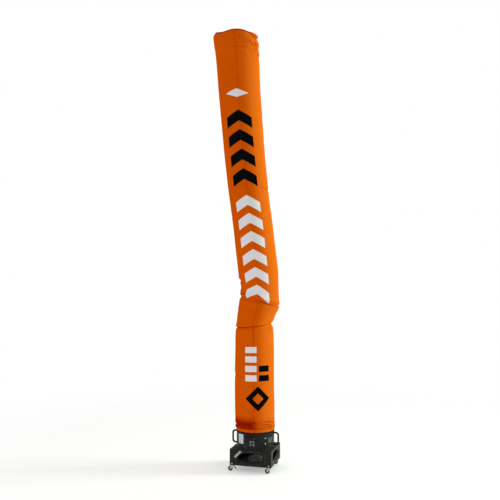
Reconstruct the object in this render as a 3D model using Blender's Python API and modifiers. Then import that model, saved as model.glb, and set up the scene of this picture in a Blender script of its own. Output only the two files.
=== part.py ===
"""An inflatable air dancer strapped to its blower, at real size in metres, with +Z up.

The blower is a square sheet-steel housing on four swivel castors. Air comes in through an oval
inlet in each side, and a fan in the round duct blows it up into a sleeve of coated nylon. The
sleeve is strapped round the duct and closed by a round top panel. It bends at two folds, then
leans to one side and towards the viewer. The housing's front faces -Y, and the viewer stands
VIEWER_TURN to the right of it. The origin is on the floor, under the middle of the whole object.
"""

import math
from collections import namedtuple

import bmesh
import bpy
from mathutils import Euler, Matrix, Vector

GAP = 0.0003
OVERLAP = 0.0005
DUCT_AXIS_X = 0.0497
DUCT_AXIS_Y = 0.1711
VIEWER_TURN = math.radians(16)

# Housing: flat sheet panels with an oval inlet in each side
HOUSING_WIDTH = 0.500
HOUSING_DEPTH = 0.466
HOUSING_BOTTOM = 0.072
HOUSING_TOP = 0.257
SHEET = 0.002
INLET_MARGIN_ENDS = 0.070
INLET_HALF_HEIGHT = 0.072
INLET_SIDES = 28
INLET_SQUARENESS = 2.4
LIP_FLANGE = 0.005
LIP_DEPTH = 0.028
LIP_TAPER = 0.026
LIP_STEPS = 3

# Duct, the round collar above the housing that holds the fan
ROUND_SIDES = 36
DUCT_RADIUS = 0.225
DUCT_WALL = 0.002
DUCT_TOP = 0.478
FLANGE_RADIUS = 0.2325
FLANGE_THICKNESS = 0.004

# Fan and motor
MOTOR_RADIUS = 0.082
MOTOR_TOP = 0.122
MOTOR_EDGE = 0.012
MOTOR_FOOT = 0.007
SHAFT_RADIUS = 0.011
SHAFT_SIDES = 16
SHAFT_DIP = 0.028
HUB_RADIUS = 0.055
HUB_BOTTOM = 0.318
HUB_TOP = 0.372
HUB_DOME = 0.012
BLADE_TIP_RADIUS = 0.212
BLADE_ROOT_RADIUS = 0.048
BLADE_COUNT = 6
BLADE_THICKNESS = 0.003
BLADE_ROOT_CHORD = 0.065
BLADE_TIP_CHORD = 0.110
BLADE_CAMBER = 0.0025
BLADE_PITCH_ROOT = math.radians(34)
BLADE_PITCH_TIP = math.radians(18)

# Handles at the duct's left and right
HANDLE_BAR_RADIUS = 0.011
HANDLE_TOP = 0.424
HANDLE_BOTTOM = 0.286
HANDLE_REACH = 0.281
HANDLE_CORNER = 0.028

# Switch box on the duct's front
BOX_WIDTH = 0.127
BOX_BOTTOM = 0.306
BOX_TOP = 0.402
BOX_FRONT = 0.272
BOX_BACK = 0.205
SWITCH_X = 0.033
SWITCH_Z = 0.349
SWITCH_PLATE_SIDE = 0.054
SWITCH_PLATE_THICKNESS = 0.003
KNOB_RADIUS = 0.017
KNOB_LENGTH = 0.014
KNOB_BARS = 2
KNOB_BAR_SIZE = (0.011, KNOB_LENGTH - 0.002, 2 * KNOB_RADIUS + 0.012)
GLAND_RADIUS = 0.010
GLAND_LENGTH = 0.022
GLAND_DISTANCE = 0.250
GLAND_RISE = 0.036

# Blank plates and bolt heads. turn is in degrees round the duct, 0 at the housing's front.
DuctPlate = namedtuple("DuctPlate", "name turn width bottom top")
DUCT_PLATES = (
    DuctPlate("left_blank_plate", -34, 0.084, 0.318, 0.428),
    DuctPlate("right_blank_plate", 66.5, 0.076, 0.331, 0.388),
)
PLATE_THICKNESS = 0.001
FRONT_PLATE_SIZE = (0.105, PLATE_THICKNESS, 0.028)
FRONT_PLATE_X = -0.151
FRONT_PLATE_Z = 0.202
FRONT_PLATE_TILT = math.radians(44)
DUCT_BOLT_TURN = math.radians(46)
DUCT_BOLT_HEIGHTS = (("duct_bolt_upper", 0.389), ("duct_bolt_lower", 0.325))
DUCT_BOLT_SIZE = (0.010, 0.006)
CORNER_BOLT_X = 0.222
CORNER_BOLT_RISE = 0.019
CORNER_BOLT_SIZE = (0.009, 0.005)

# Castors
WHEEL_SIDES = 20
WHEEL_RADIUS = 0.029
WHEEL_WIDTH = 0.020
WHEEL_CHAMFER = 0.003
TRAIL = 0.025
CASTOR_INSET = 0.026
CASTOR_PLATE_SIDE = 0.048
CASTOR_PLATE_THICKNESS = 0.0025
BEARING_RADIUS = 0.016
BEARING_TAPER = 0.003
CROWN_TOP = 0.0650
CROWN_THICKNESS = 0.0030
LEG_THICKNESS = 0.0025
LEG_SPACE = 0.0015
LEG_BOSS_RADIUS = 0.0085
AXLE_RADIUS = 0.004
AXLE_HEAD_RADIUS = 0.0065
AXLE_HEAD_LENGTH = 0.003
PEDAL_PIVOT_X = 0.018
PEDAL_PIVOT_Z = 0.0540
PEDAL_BARREL = 0.0035
PEDAL_THICKNESS = 0.0025
PEDAL_PLATE_LENGTH = 0.026
PEDAL_SLOPE = math.radians(42)
PEDAL_TAB_LENGTH = 0.014
PEDAL_TAB_WIDTH = 0.028
PEDAL_TAB_SLOPE = math.radians(12)

# Cloth
CLOTH = 0.0015
STRAP_BOTTOM = 0.437
STRAP_TOP = 0.458
STRAP_THICKNESS = 0.0025
HEM_BOTTOM = 0.439
TOP_TILT_DROP = 0.019
TOP_SLANT_TALL = 0.42
TOP_DOME = 0.014
TOP_EAR = 0.040
EAR_TURN_AND_SPREAD = (math.radians(80), math.radians(50))
TOP_RINGS = 5

HEM_RADIUS = DUCT_RADIUS + GAP + CLOTH
DUCT_FLOOR = HOUSING_TOP + GAP
AXLE_HEIGHT = WHEEL_RADIUS * math.cos(math.pi / WHEEL_SIDES)
FORK_HALF_WIDTH = WHEEL_WIDTH / 2 + LEG_SPACE + LEG_THICKNESS

# The sleeve's sections. side is to the viewer's right, forward is towards the viewer.
Station = namedtuple("Station", "height side forward half_width half_depth")
STATIONS = (
    Station(HEM_BOTTOM, 0.000, 0.000, HEM_RADIUS, HEM_RADIUS),
    Station(0.473, 0.000, 0.000, HEM_RADIUS, HEM_RADIUS),
    Station(0.486, 0.000, 0.000, 0.236, 0.236),
    Station(0.535, -0.005, 0.000, 0.234, 0.236),
    Station(0.740, -0.009, -0.002, 0.239, 0.238),
    Station(1.120, -0.011, -0.005, 0.237, 0.239),
    Station(1.580, -0.011, -0.009, 0.232, 0.243),
    Station(1.664, -0.014, -0.010, 0.228, 0.246),
    Station(1.719, -0.011, -0.009, 0.221, 0.252),
    Station(1.876, 0.025, 0.002, 0.233, 0.244),
    Station(1.956, 0.048, 0.010, 0.241, 0.241),
    Station(2.034, 0.054, 0.018, 0.233, 0.243),
    Station(2.119, 0.055, 0.024, 0.228, 0.244),
    Station(2.240, 0.044, 0.034, 0.236, 0.241),
    Station(2.361, 0.031, 0.047, 0.242, 0.239),
    Station(2.844, -0.021, 0.097, 0.241, 0.240),
    Station(3.324, -0.086, 0.146, 0.240, 0.240),
    Station(3.801, -0.135, 0.195, 0.246, 0.238),
    Station(4.513, -0.194, 0.269, 0.250, 0.234),
    Station(4.866, -0.213, 0.305, 0.257, 0.226),
    Station(5.078, -0.230, 0.327, 0.267, 0.215),
    Station(5.128, -0.235, 0.332, 0.268, 0.212),
    Station(5.158, -0.236, 0.334, 0.260, 0.204),
    Station(5.176, -0.236, 0.335, 0.243, 0.190),
)
EASE = 0.012

# Folds that run round the sleeve. height is where the crease crosses the viewer's side, and rise is
# how much higher it is at the viewer's right. turn is where it is deepest, and spread is how far it
# reaches round the sleeve to each side. lip is how far the cloth above the crease swells out.
Fold = namedtuple("Fold", "height rise turn spread depth tall lip")
FOLDS = (
    Fold(1.985, -0.055, -30, 150, 0.022, 0.022, 0.010),
    Fold(1.985, -0.055, 55, 60, 0.010, 0.016, 0.008),
    Fold(1.985, -0.055, 180, 110, 0.012, 0.026, 0.006),
    Fold(1.685, 0.025, -50, 110, 0.014, 0.018, 0.006),
    Fold(1.685, 0.025, 75, 80, 0.020, 0.024, 0.006),
    Fold(1.685, 0.025, 180, 110, 0.010, 0.024, 0.004),
    Fold(2.235, 0.000, -85, 55, 0.012, 0.020, 0.006),
    Fold(1.110, 0.006, -60, 70, 0.007, 0.034, 0.002),
    Fold(3.335, -0.020, 62, 62, 0.010, 0.018, 0.004),
    Fold(4.195, -0.030, 60, 50, 0.008, 0.026, 0.003),
    Fold(4.930, -0.050, 62, 48, 0.010, 0.026, 0.006),
    Fold(5.075, -0.090, 58, 55, 0.014, 0.022, 0.010),
)
SLANT_TALL = 0.20

# Where the top seam sags. drop is how far, turn is where, and spread is how far round it reaches.
Sag = namedtuple("Sag", "turn spread drop")
CORNER_SAG = Sag(72, 34, 0.072)
SAGS = (CORNER_SAG, Sag(-38, 24, 0.026))

# Rows of the sleeve's surface, closer together at the folds. count is the rows after start.
Band = namedtuple("Band", "start end count")
BANDS = (
    Band(HEM_BOTTOM, 0.460, 1),
    Band(0.460, 0.488, 2),
    Band(0.488, 0.540, 1),
    Band(0.540, 1.070, 1),
    Band(1.070, 1.150, 2),
    Band(1.150, 1.620, 1),
    Band(1.620, 1.760, 7),
    Band(1.760, 1.900, 1),
    Band(1.900, 2.080, 8),
    Band(2.080, 2.290, 5),
    Band(2.290, 3.290, 2),
    Band(3.290, 3.380, 3),
    Band(3.380, 4.150, 1),
    Band(4.150, 4.240, 2),
    Band(4.240, 4.880, 2),
    Band(4.880, 5.128, 6),
    Band(5.128, 5.176, 2),
)


def clear_scene():
    """Removes whatever the startup file holds."""
    for obj in list(bpy.data.objects):
        bpy.data.objects.remove(obj, do_unlink=True)


def new_collection(name):
    collection = bpy.data.collections.new(name)
    bpy.context.scene.collection.children.link(collection)
    return collection


def new_material(name, colour, roughness, metallic=0.0):
    """A Principled material with one colour, given as linear red, green and blue."""
    material = bpy.data.materials.new(name)
    material.use_nodes = True
    shader = material.node_tree.nodes["Principled BSDF"]
    shader.inputs["Base Color"].default_value = (*colour, 1.0)
    shader.inputs["Roughness"].default_value = roughness
    shader.inputs["Metallic"].default_value = metallic
    return material


clear_scene()
PARTS = new_collection("air_dancer")
CUTTERS = new_collection("cutters")
NYLON = new_material("orange_nylon", (0.78, 0.15, 0.01), 0.45)
WEBBING = new_material("black_webbing", (0.02, 0.02, 0.02), 0.80)
STEEL = new_material("black_steel", (0.02, 0.02, 0.02), 0.45, 0.3)
ZINC = new_material("zinc_plate", (0.55, 0.56, 0.58), 0.35, 1.0)
RUBBER = new_material("grey_rubber", (0.03, 0.03, 0.03), 0.70)
PLASTIC = new_material("black_plastic", (0.012, 0.012, 0.012), 0.50)
PLATE = new_material("light_plate", (0.60, 0.62, 0.66), 0.45)
CAST = new_material("grey_casting", (0.12, 0.12, 0.12), 0.55, 0.4)

DUCT_PLACE = Vector((DUCT_AXIS_X, DUCT_AXIS_Y, 0.0))


def add_object(name, data, material, place=(0, 0, 0), turn=(0, 0, 0), collection=None):
    """Puts mesh or curve data in the scene. place is measured from the duct's axis on the floor."""
    obj = bpy.data.objects.new(name, data)
    data.materials.append(material)
    obj.location = DUCT_PLACE + Vector(place)
    obj.rotation_euler = turn
    (collection or PARTS).objects.link(obj)
    return obj


def as_cutter(obj):
    """Hides an object that only cuts or joins another."""
    for collection in list(obj.users_collection):
        collection.objects.unlink(obj)
    CUTTERS.objects.link(obj)
    obj.hide_render = True
    obj.display_type = "WIRE"
    return obj


def mesh_from(build, name, smooth=False):
    """A mesh that the function build makes in a bmesh."""
    mesh = bpy.data.meshes.new(name)
    work = bmesh.new()
    build(work)
    work.to_mesh(mesh)
    work.free()
    if smooth:
        mesh.shade_smooth()
        mesh.set_sharp_from_angle(angle=math.radians(35))
    return mesh


def add_block(name, size, material, place, turn=(0, 0, 0), bevel=0.0):
    """A block of the given size, with its edges rounded if bevel isn't 0."""

    def build(work):
        bmesh.ops.create_cube(work, size=1.0, matrix=Matrix.Diagonal((*size, 1.0)))

    obj = add_object(name, mesh_from(build, name), material, place, turn)
    if bevel:
        rounding = obj.modifiers.new("rounding", "BEVEL")
        rounding.width = bevel
        rounding.segments = 2
    return obj


def add_turned(name, profile, sides, material, place=(0, 0, 0), turn=(0, 0, 0), closed=False):
    """A turned piece. profile holds (radius, height) points down the outer side."""

    def build(work):
        points = [work.verts.new((radius, 0.0, height)) for radius, height in profile]
        for first, second in zip(points, points[1:]):
            work.edges.new((first, second))
        if closed:
            work.edges.new((points[-1], points[0]))

    obj = add_object(name, mesh_from(build, name), material, place, turn)
    screw = obj.modifiers.new("turning", "SCREW")
    screw.steps = sides
    screw.render_steps = sides
    screw.use_merge_vertices = True
    screw.merge_threshold = 0.0001
    screw.use_smooth_shade = False
    return obj


def add_outline(name, outlines, thickness, material, place, turn):
    """A flat sheet from closed outlines in its own XY plane. Inner outlines are holes."""
    curve = bpy.data.curves.new(name, "CURVE")
    curve.dimensions = "2D"
    curve.fill_mode = "BOTH"
    curve.extrude = thickness / 2
    for outline in outlines:
        spline = curve.splines.new("POLY")
        spline.points.add(len(outline) - 1)
        for point, (x, y) in zip(spline.points, outline):
            point.co = (x, y, 0.0, 1.0)
        spline.use_cyclic_u = True
    return add_object(name, curve, material, place, turn)


def made_mesh(obj):
    """Turns a curve object into a mesh object whose caps are welded."""
    bpy.context.view_layer.update()
    graph = bpy.context.evaluated_depsgraph_get()
    mesh = bpy.data.meshes.new_from_object(obj.evaluated_get(graph))
    work = bmesh.new()
    work.from_mesh(mesh)
    bmesh.ops.remove_doubles(work, verts=work.verts, dist=0.00001)
    bmesh.ops.recalc_face_normals(work, faces=work.faces)
    work.to_mesh(mesh)
    work.free()
    solid = bpy.data.objects.new(obj.name + "_solid", mesh)
    solid.matrix_world = obj.matrix_world
    PARTS.objects.link(solid)
    name = obj.name
    bpy.data.objects.remove(obj, do_unlink=True)
    solid.name = name
    return solid


def combine(obj, other, operation):
    """Cuts other from obj, or joins it to obj, with a Boolean modifier."""
    boolean = obj.modifiers.new(operation.lower(), "BOOLEAN")
    boolean.operation = operation
    boolean.object = as_cutter(other)
    return obj


def eased(points, height, column):
    """A column of the stations at a height, averaged over a short stretch so that corners are soft."""
    total = 0.0
    for step in (-1.0, -0.5, 0.0, 0.5, 1.0):
        level = min(max(height + step * EASE, points[0].height), points[-1].height)
        upper = next(i for i, p in enumerate(points) if p.height >= level)
        low, high = points[max(upper - 1, 0)], points[upper]
        share = (level - low.height) / max(high.height - low.height, 1e-9)
        total += getattr(low, column) * (1 - share) + getattr(high, column) * share
    return total / 5


def round_distance(turn, centre):
    """How far apart two directions round the sleeve are, in radians."""
    return abs((turn - centre + math.pi) % (2 * math.pi) - math.pi)


def window(turn, centre, spread):
    """1 at the centre direction, falling smoothly to 0 at spread from it."""
    share = min(round_distance(turn, centre) / spread, 1.0)
    return math.cos(share * math.pi / 2) ** 2


def bell(distance, width):
    return math.exp(-((distance / width) ** 2))


def sag_drop(sag, turn):
    away = round_distance(turn, math.radians(sag.turn))
    return sag.drop * bell(away, math.radians(sag.spread))


def top_slant(turn):
    """How far the top seam drops at a direction: a little at the front, and more at the sags."""
    front = TOP_TILT_DROP * (1 + math.cos(turn)) / 2
    return front + sum(sag_drop(sag, turn) for sag in SAGS)


def row_height(height, turn):
    """The true height of a point on a row, because the rows follow the folds and the top seam."""
    level = height
    for crease, rise in sorted({(fold.height, fold.rise) for fold in FOLDS[:6]}):
        level += rise * math.sin(turn) * bell(height - crease, SLANT_TALL)
    top_share = min(max(1 - (STATIONS[-1].height - height) / TOP_SLANT_TALL, 0.0), 1.0)
    return level - top_slant(turn) * top_share**2


def fold_shift(height, turn):
    """How far the folds push the cloth out or in at a place."""
    shift = 0.0
    for fold in FOLDS:
        level = height - fold.height - fold.rise * math.sin(turn)
        reach = window(turn, math.radians(fold.turn), math.radians(fold.spread))
        shift -= fold.depth * reach * bell(level, fold.tall)
        shift += fold.lip * reach * bell(level - 2 * fold.tall, 1.4 * fold.tall)
    return shift


def sleeve_point(height, turn, inset=0.0):
    """A point on the sleeve's outside, or inset inside it. turn 0 faces the viewer."""
    shift = fold_shift(row_height(height, turn), turn) if height > STRAP_TOP else 0.0
    half_width = eased(STATIONS, height, "half_width") + shift - inset
    half_depth = eased(STATIONS, height, "half_depth") + shift - inset
    return Vector(
        (
            eased(STATIONS, height, "side") + half_width * math.sin(turn),
            -eased(STATIONS, height, "forward") - half_depth * math.cos(turn),
            row_height(height, turn) if height > STRAP_TOP else height,
        )
    )


def turns():
    return [2 * math.pi * i / ROUND_SIDES for i in range(ROUND_SIDES)]


def skin(work, rings, wraps):
    """Joins rings of points with faces. A ring of one point is a pole."""
    made = [[work.verts.new(point) for point in ring] for ring in rings]
    pairs = list(zip(made, made[1:])) + ([(made[-1], made[0])] if wraps else [])
    for first, second in pairs:
        count = max(len(first), len(second))
        for i in range(count):
            corners = [
                first[i % len(first)],
                first[(i + 1) % len(first)],
                second[(i + 1) % len(second)],
                second[i % len(second)],
            ]
            work.faces.new(list(dict.fromkeys(corners)))
    bmesh.ops.recalc_face_normals(work, faces=work.faces)


def sleeve_rows():
    heights = [BANDS[0].start]
    for band in BANDS:
        step = (band.end - band.start) / band.count
        heights += [band.start + step * (i + 1) for i in range(band.count)]
    return heights


def add_sleeve():
    """The nylon sleeve: one sheet, sewn to itself up the front, open at both ends."""
    rows = sleeve_rows()

    def build(work):
        outside = [[sleeve_point(h, turn) for turn in turns()] for h in rows]
        inside = [[sleeve_point(h, turn, CLOTH) for turn in turns()] for h in reversed(rows)]
        skin(work, outside + inside, wraps=True)

    mesh = mesh_from(build, "sleeve", smooth=True)
    return add_object("sleeve", mesh, NYLON, turn=(0, 0, VIEWER_TURN))


def top_point(share, turn):
    """A point of the top panel's outside. share is 0 at its seam and 1 at its middle."""
    seam = sleeve_point(STATIONS[-1].height, turn)
    middle = Vector((STATIONS[-1].side, -STATIONS[-1].forward, STATIONS[-1].height))
    middle.z -= TOP_TILT_DROP / 2
    outward = (seam - middle) * Vector((1, 1, 0))
    corner = sag_drop(CORNER_SAG, turn)
    swell = math.sin(math.pi * share**0.4) * window(turn, *EAR_TURN_AND_SPREAD)
    point = middle + outward * (1 - share) + outward.normalized() * TOP_EAR * swell
    level = (seam.z + corner) * (1 - share) + middle.z * share
    point.z = level - corner * (1 - share) ** 8 + TOP_DOME * (1 - (1 - share) ** 2) + GAP
    return point


def top_inner_point(share, turn):
    """The point one cloth thickness inside top_point."""
    point = top_point(share, turn)
    if share == 0:
        seam_inside = sleeve_point(STATIONS[-1].height, turn, CLOTH)
        return Vector((seam_inside.x, seam_inside.y, point.z))
    if share == 1:
        return point - Vector((0, 0, CLOTH))
    step = 0.01
    along = top_point(share + step, turn) - top_point(share - step, turn)
    across = top_point(share, turn + step) - top_point(share, turn - step)
    return point - across.cross(along).normalized() * CLOTH


def add_top_panel():
    """The round panel that closes the sleeve, blown up over the seam at the front right."""
    shares = [(i / TOP_RINGS) ** 1.8 for i in range(TOP_RINGS)]

    def build(work):
        outside = [[top_point(share, turn) for turn in turns()] for share in reversed(shares)]
        inside = [[top_inner_point(share, turn) for turn in turns()] for share in shares]
        skin(work, [[top_point(1, 0)], *outside, *inside, [top_inner_point(1, 0)]], wraps=False)

    mesh = mesh_from(build, "top_panel", smooth=True)
    return add_object("top_panel", mesh, NYLON, turn=(0, 0, VIEWER_TURN))


def add_strap():
    """The webbing strap that clamps the sleeve's hem to the duct."""
    inner = HEM_RADIUS + GAP
    outer = inner + STRAP_THICKNESS
    profile = [(outer, STRAP_TOP), (outer, STRAP_BOTTOM), (inner, STRAP_BOTTOM), (inner, STRAP_TOP)]
    turn = (0, 0, VIEWER_TURN - math.pi / 2)
    return add_turned("strap", profile, ROUND_SIDES, WEBBING, turn=turn, closed=True)


def add_duct():
    """The duct: a rolled steel cylinder with a flange that sits on the housing."""
    inner = DUCT_RADIUS - DUCT_WALL
    profile = [
        (DUCT_RADIUS, DUCT_TOP),
        (DUCT_RADIUS, DUCT_FLOOR + FLANGE_THICKNESS),
        (FLANGE_RADIUS, DUCT_FLOOR + FLANGE_THICKNESS),
        (FLANGE_RADIUS, DUCT_FLOOR),
        (inner, DUCT_FLOOR),
        (inner, DUCT_TOP),
    ]
    turn = (0, 0, VIEWER_TURN - math.pi / 2)
    return add_turned("duct", profile, ROUND_SIDES, STEEL, turn=turn, closed=True)


def rectangle(width, height):
    return [
        (-width / 2, -height / 2),
        (width / 2, -height / 2),
        (width / 2, height / 2),
        (-width / 2, height / 2),
    ]


def oval(half_width, half_height):
    """An oval a little squarer than an ellipse."""
    power = 2 / INLET_SQUARENESS
    points = []
    for i in range(INLET_SIDES):
        turn = 2 * math.pi * (i + 0.5) / INLET_SIDES
        across, up = math.cos(turn), math.sin(turn)
        points.append(
            (
                math.copysign(abs(across) ** power, across) * half_width,
                math.copysign(abs(up) ** power, up) * half_height,
            )
        )
    return points


def add_inlet_lip(name, half_width, place, spin):
    """The bell mouth of an inlet: a flange behind the panel, and a throat that narrows inwards."""

    def build(work):
        bends = [math.pi / 2 * step / LIP_STEPS for step in range(LIP_STEPS + 1)]
        start = SHEET + GAP
        rings = []
        for layer in (0, 1):
            places = [(-LIP_FLANGE, start + SHEET * layer)]
            for bend in bends:
                narrowing = (LIP_TAPER - SHEET * layer) * math.sin(bend)
                depth = LIP_DEPTH * (1 - math.cos(bend)) + SHEET * layer * math.cos(bend)
                places.append((narrowing, start + depth))
            for narrowing, depth in places if layer == 0 else reversed(places):
                ring = oval(half_width - narrowing, INLET_HALF_HEIGHT - narrowing)
                rings.append([(x, depth, z) for x, z in ring])
        skin(work, rings, wraps=True)

    mesh = mesh_from(build, name, smooth=True)
    return add_object(name, mesh, STEEL, place, (0, 0, spin))


def add_housing():
    """Top and base plates, four side panels with oval inlets, and the inlets' lips."""
    middle = (HOUSING_BOTTOM + HOUSING_TOP) / 2
    wall_height = HOUSING_TOP - HOUSING_BOTTOM - 2 * SHEET - 2 * GAP
    plate = rectangle(HOUSING_WIDTH, HOUSING_DEPTH)
    hole_radius = DUCT_RADIUS - DUCT_WALL
    hole = [(hole_radius * math.cos(t), hole_radius * math.sin(t)) for t in turns()]
    top_place = (0, 0, HOUSING_TOP - SHEET / 2)
    base_place = (0, 0, HOUSING_BOTTOM + SHEET / 2)
    add_outline("top_plate", [plate, hole], SHEET, STEEL, top_place, (0, 0, 0))
    add_outline("base_plate", [plate], SHEET, STEEL, base_place, (0, 0, 0))
    sides = (
        ("front", 0.0, HOUSING_WIDTH, HOUSING_DEPTH / 2),
        ("right", math.pi / 2, HOUSING_DEPTH - 2 * (SHEET + GAP), HOUSING_WIDTH / 2),
        ("back", math.pi, HOUSING_WIDTH, HOUSING_DEPTH / 2),
        ("left", -math.pi / 2, HOUSING_DEPTH - 2 * (SHEET + GAP), HOUSING_WIDTH / 2),
    )
    for name, spin, width, distance in sides:
        half_width = width / 2 - INLET_MARGIN_ENDS
        outlines = [rectangle(width, wall_height), oval(half_width, INLET_HALF_HEIGHT)]
        outward = Vector((math.sin(spin), -math.cos(spin), 0.0))
        panel_place = outward * (distance - SHEET / 2) + Vector((0, 0, middle))
        facing = Euler((math.pi / 2, 0, spin))
        add_outline(f"{name}_panel", outlines, SHEET, STEEL, panel_place, facing)
        lip_place = outward * distance + Vector((0, 0, middle))
        add_inlet_lip(f"{name}_inlet", half_width, lip_place, spin)


def add_handles():
    """A bent tube handle on each side of the duct."""
    for name, sign in (("right_handle", 1), ("left_handle", -1)):
        start = DUCT_RADIUS + GAP
        path = [(start, HANDLE_TOP)]
        for centre_z, first in ((HANDLE_TOP - HANDLE_CORNER, 90), (HANDLE_BOTTOM + HANDLE_CORNER, 0)):
            for step in range(5):
                angle = math.radians(first - 22.5 * step)
                path.append(
                    (
                        HANDLE_REACH - HANDLE_CORNER + HANDLE_CORNER * math.cos(angle),
                        centre_z + HANDLE_CORNER * math.sin(angle),
                    )
                )
        path.append((start, HANDLE_BOTTOM))
        curve = bpy.data.curves.new(name, "CURVE")
        curve.dimensions = "3D"
        curve.bevel_depth = HANDLE_BAR_RADIUS
        curve.bevel_resolution = 3
        curve.use_fill_caps = True
        spline = curve.splines.new("POLY")
        spline.points.add(len(path) - 1)
        for point, (x, z) in zip(spline.points, path):
            point.co = (sign * x, 0.0, z, 1.0)
        add_object(name, curve, STEEL)


def duct_cutter(name):
    """A cylinder one gap larger than the duct, with its sides in line with the duct's."""
    radius = DUCT_RADIUS + GAP / math.cos(math.pi / ROUND_SIDES)
    profile = [(0, DUCT_TOP), (radius, DUCT_TOP), (radius, DUCT_FLOOR), (0, DUCT_FLOOR)]
    turn = (0, 0, VIEWER_TURN - math.pi / 2)
    return add_turned(name, profile, ROUND_SIDES, STEEL, turn=turn)


def add_switch_box():
    """The switch box, its light plate, the four-lobed rotary knob and a cable gland."""
    depth = BOX_FRONT - BOX_BACK
    size = (BOX_WIDTH, depth, BOX_TOP - BOX_BOTTOM)
    place = (0, -(BOX_FRONT + BOX_BACK) / 2, (BOX_TOP + BOX_BOTTOM) / 2)
    box = add_block("switch_box", size, PLASTIC, place, bevel=0.004)
    combine(box, duct_cutter("switch_box_seat"), "DIFFERENCE")
    plate_size = (SWITCH_PLATE_SIDE, SWITCH_PLATE_THICKNESS, SWITCH_PLATE_SIDE)
    plate_y = -(BOX_FRONT + GAP + SWITCH_PLATE_THICKNESS / 2)
    add_block("switch_plate", plate_size, PLATE, (SWITCH_X, plate_y, SWITCH_Z), bevel=0.001)
    knob_start = BOX_FRONT + 2 * GAP + SWITCH_PLATE_THICKNESS
    profile = [(0, KNOB_LENGTH), (KNOB_RADIUS, KNOB_LENGTH), (KNOB_RADIUS, 0), (0, 0)]
    knob_place = (SWITCH_X, -knob_start, SWITCH_Z)
    knob = add_turned("switch_knob", profile, 16, PLASTIC, knob_place, (math.pi / 2, 0, 0))
    for number in range(KNOB_BARS):
        place = (SWITCH_X, -knob_start - KNOB_LENGTH / 2, SWITCH_Z)
        spin = (0, number * math.pi / KNOB_BARS, 0)
        bar = add_block(f"knob_bar_{number}", KNOB_BAR_SIZE, PLASTIC, place, spin)
        combine(knob, bar, "UNION")
    gland = [
        (0, GLAND_LENGTH),
        (0.5 * GLAND_RADIUS, GLAND_LENGTH),
        (0.8 * GLAND_RADIUS, 0.45 * GLAND_LENGTH),
        (GLAND_RADIUS, 0.45 * GLAND_LENGTH),
        (GLAND_RADIUS, 0),
        (0, 0),
    ]
    gland_place = (BOX_WIDTH / 2 + GAP, -GLAND_DISTANCE, BOX_BOTTOM + GLAND_RISE)
    add_turned("cable_gland", gland, 12, PLASTIC, gland_place, (0, math.pi / 2, 0))


def add_duct_plate(plate):
    """A blank plate bent round the duct."""
    radius = DUCT_RADIUS + 2 * GAP
    angle = plate.width / radius

    def build(work):
        work.edges.new([work.verts.new((radius, 0, z)) for z in (plate.top, plate.bottom)])

    start = math.radians(plate.turn - 90) - angle / 2
    obj = add_object(plate.name, mesh_from(build, plate.name), PLATE, turn=(0, 0, start))
    screw = obj.modifiers.new("bend", "SCREW")
    screw.angle = angle
    screw.steps = 8
    screw.render_steps = 8
    thicken = obj.modifiers.new("thickness", "SOLIDIFY")
    thicken.thickness = PLATE_THICKNESS
    thicken.offset = 1.0


def add_bolt(name, place, turn, size):
    """A round-edged bolt head, its axis along the turned +Z. size is its radius and height."""
    radius, height = size
    profile = [(0, height), (0.7 * radius, height), (radius, 0.5 * height), (radius, 0), (0, 0)]
    return add_turned(name, profile, 10, ZINC, place, turn)


def add_plates_and_bolts():
    """Blank plates and bolt heads on the duct and the housing's front."""
    for plate in DUCT_PLATES:
        add_duct_plate(plate)
    face = HOUSING_DEPTH / 2 + GAP
    place = (FRONT_PLATE_X, -face - PLATE_THICKNESS / 2, FRONT_PLATE_Z)
    add_block("front_blank_plate", FRONT_PLATE_SIZE, PLATE, place, (0, -FRONT_PLATE_TILT, 0))
    facing = Vector((math.sin(DUCT_BOLT_TURN), -math.cos(DUCT_BOLT_TURN), 0))
    for name, height in DUCT_BOLT_HEIGHTS:
        place = facing * (DUCT_RADIUS + GAP) + Vector((0, 0, height))
        add_bolt(name, place, (math.pi / 2, 0, DUCT_BOLT_TURN), DUCT_BOLT_SIZE)
    for end, sign in (("front", -1), ("back", 1)):
        for side, across in (("left", -CORNER_BOLT_X), ("right", CORNER_BOLT_X)):
            place = (across, sign * face, HOUSING_BOTTOM + CORNER_BOLT_RISE)
            turn = (-sign * math.pi / 2, 0, 0)
            add_bolt(f"corner_bolt_{end}_{side}", place, turn, CORNER_BOLT_SIZE)


def add_motor():
    """The motor on the base plate, with a bore in which the fan's shaft turns."""
    bore = (SHAFT_RADIUS + GAP) / math.cos(math.pi / SHAFT_SIDES)
    bottom = HOUSING_BOTTOM + SHEET + GAP
    profile = [
        (0, MOTOR_TOP),
        (MOTOR_RADIUS - MOTOR_EDGE, MOTOR_TOP),
        (MOTOR_RADIUS, MOTOR_TOP - MOTOR_EDGE / 2),
        (MOTOR_RADIUS, bottom + MOTOR_FOOT),
        (MOTOR_RADIUS + MOTOR_FOOT, bottom + MOTOR_FOOT),
        (MOTOR_RADIUS + MOTOR_FOOT, bottom),
        (0, bottom),
    ]
    motor = add_turned("motor", profile, 32, CAST)
    hole = [
        (0, MOTOR_TOP + MOTOR_EDGE),
        (bore, MOTOR_TOP + MOTOR_EDGE),
        (bore, MOTOR_TOP - SHAFT_DIP - GAP),
        (0, MOTOR_TOP - SHAFT_DIP - GAP),
    ]
    return combine(motor, add_turned("motor_bore", hole, SHAFT_SIDES, CAST), "DIFFERENCE")


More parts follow.
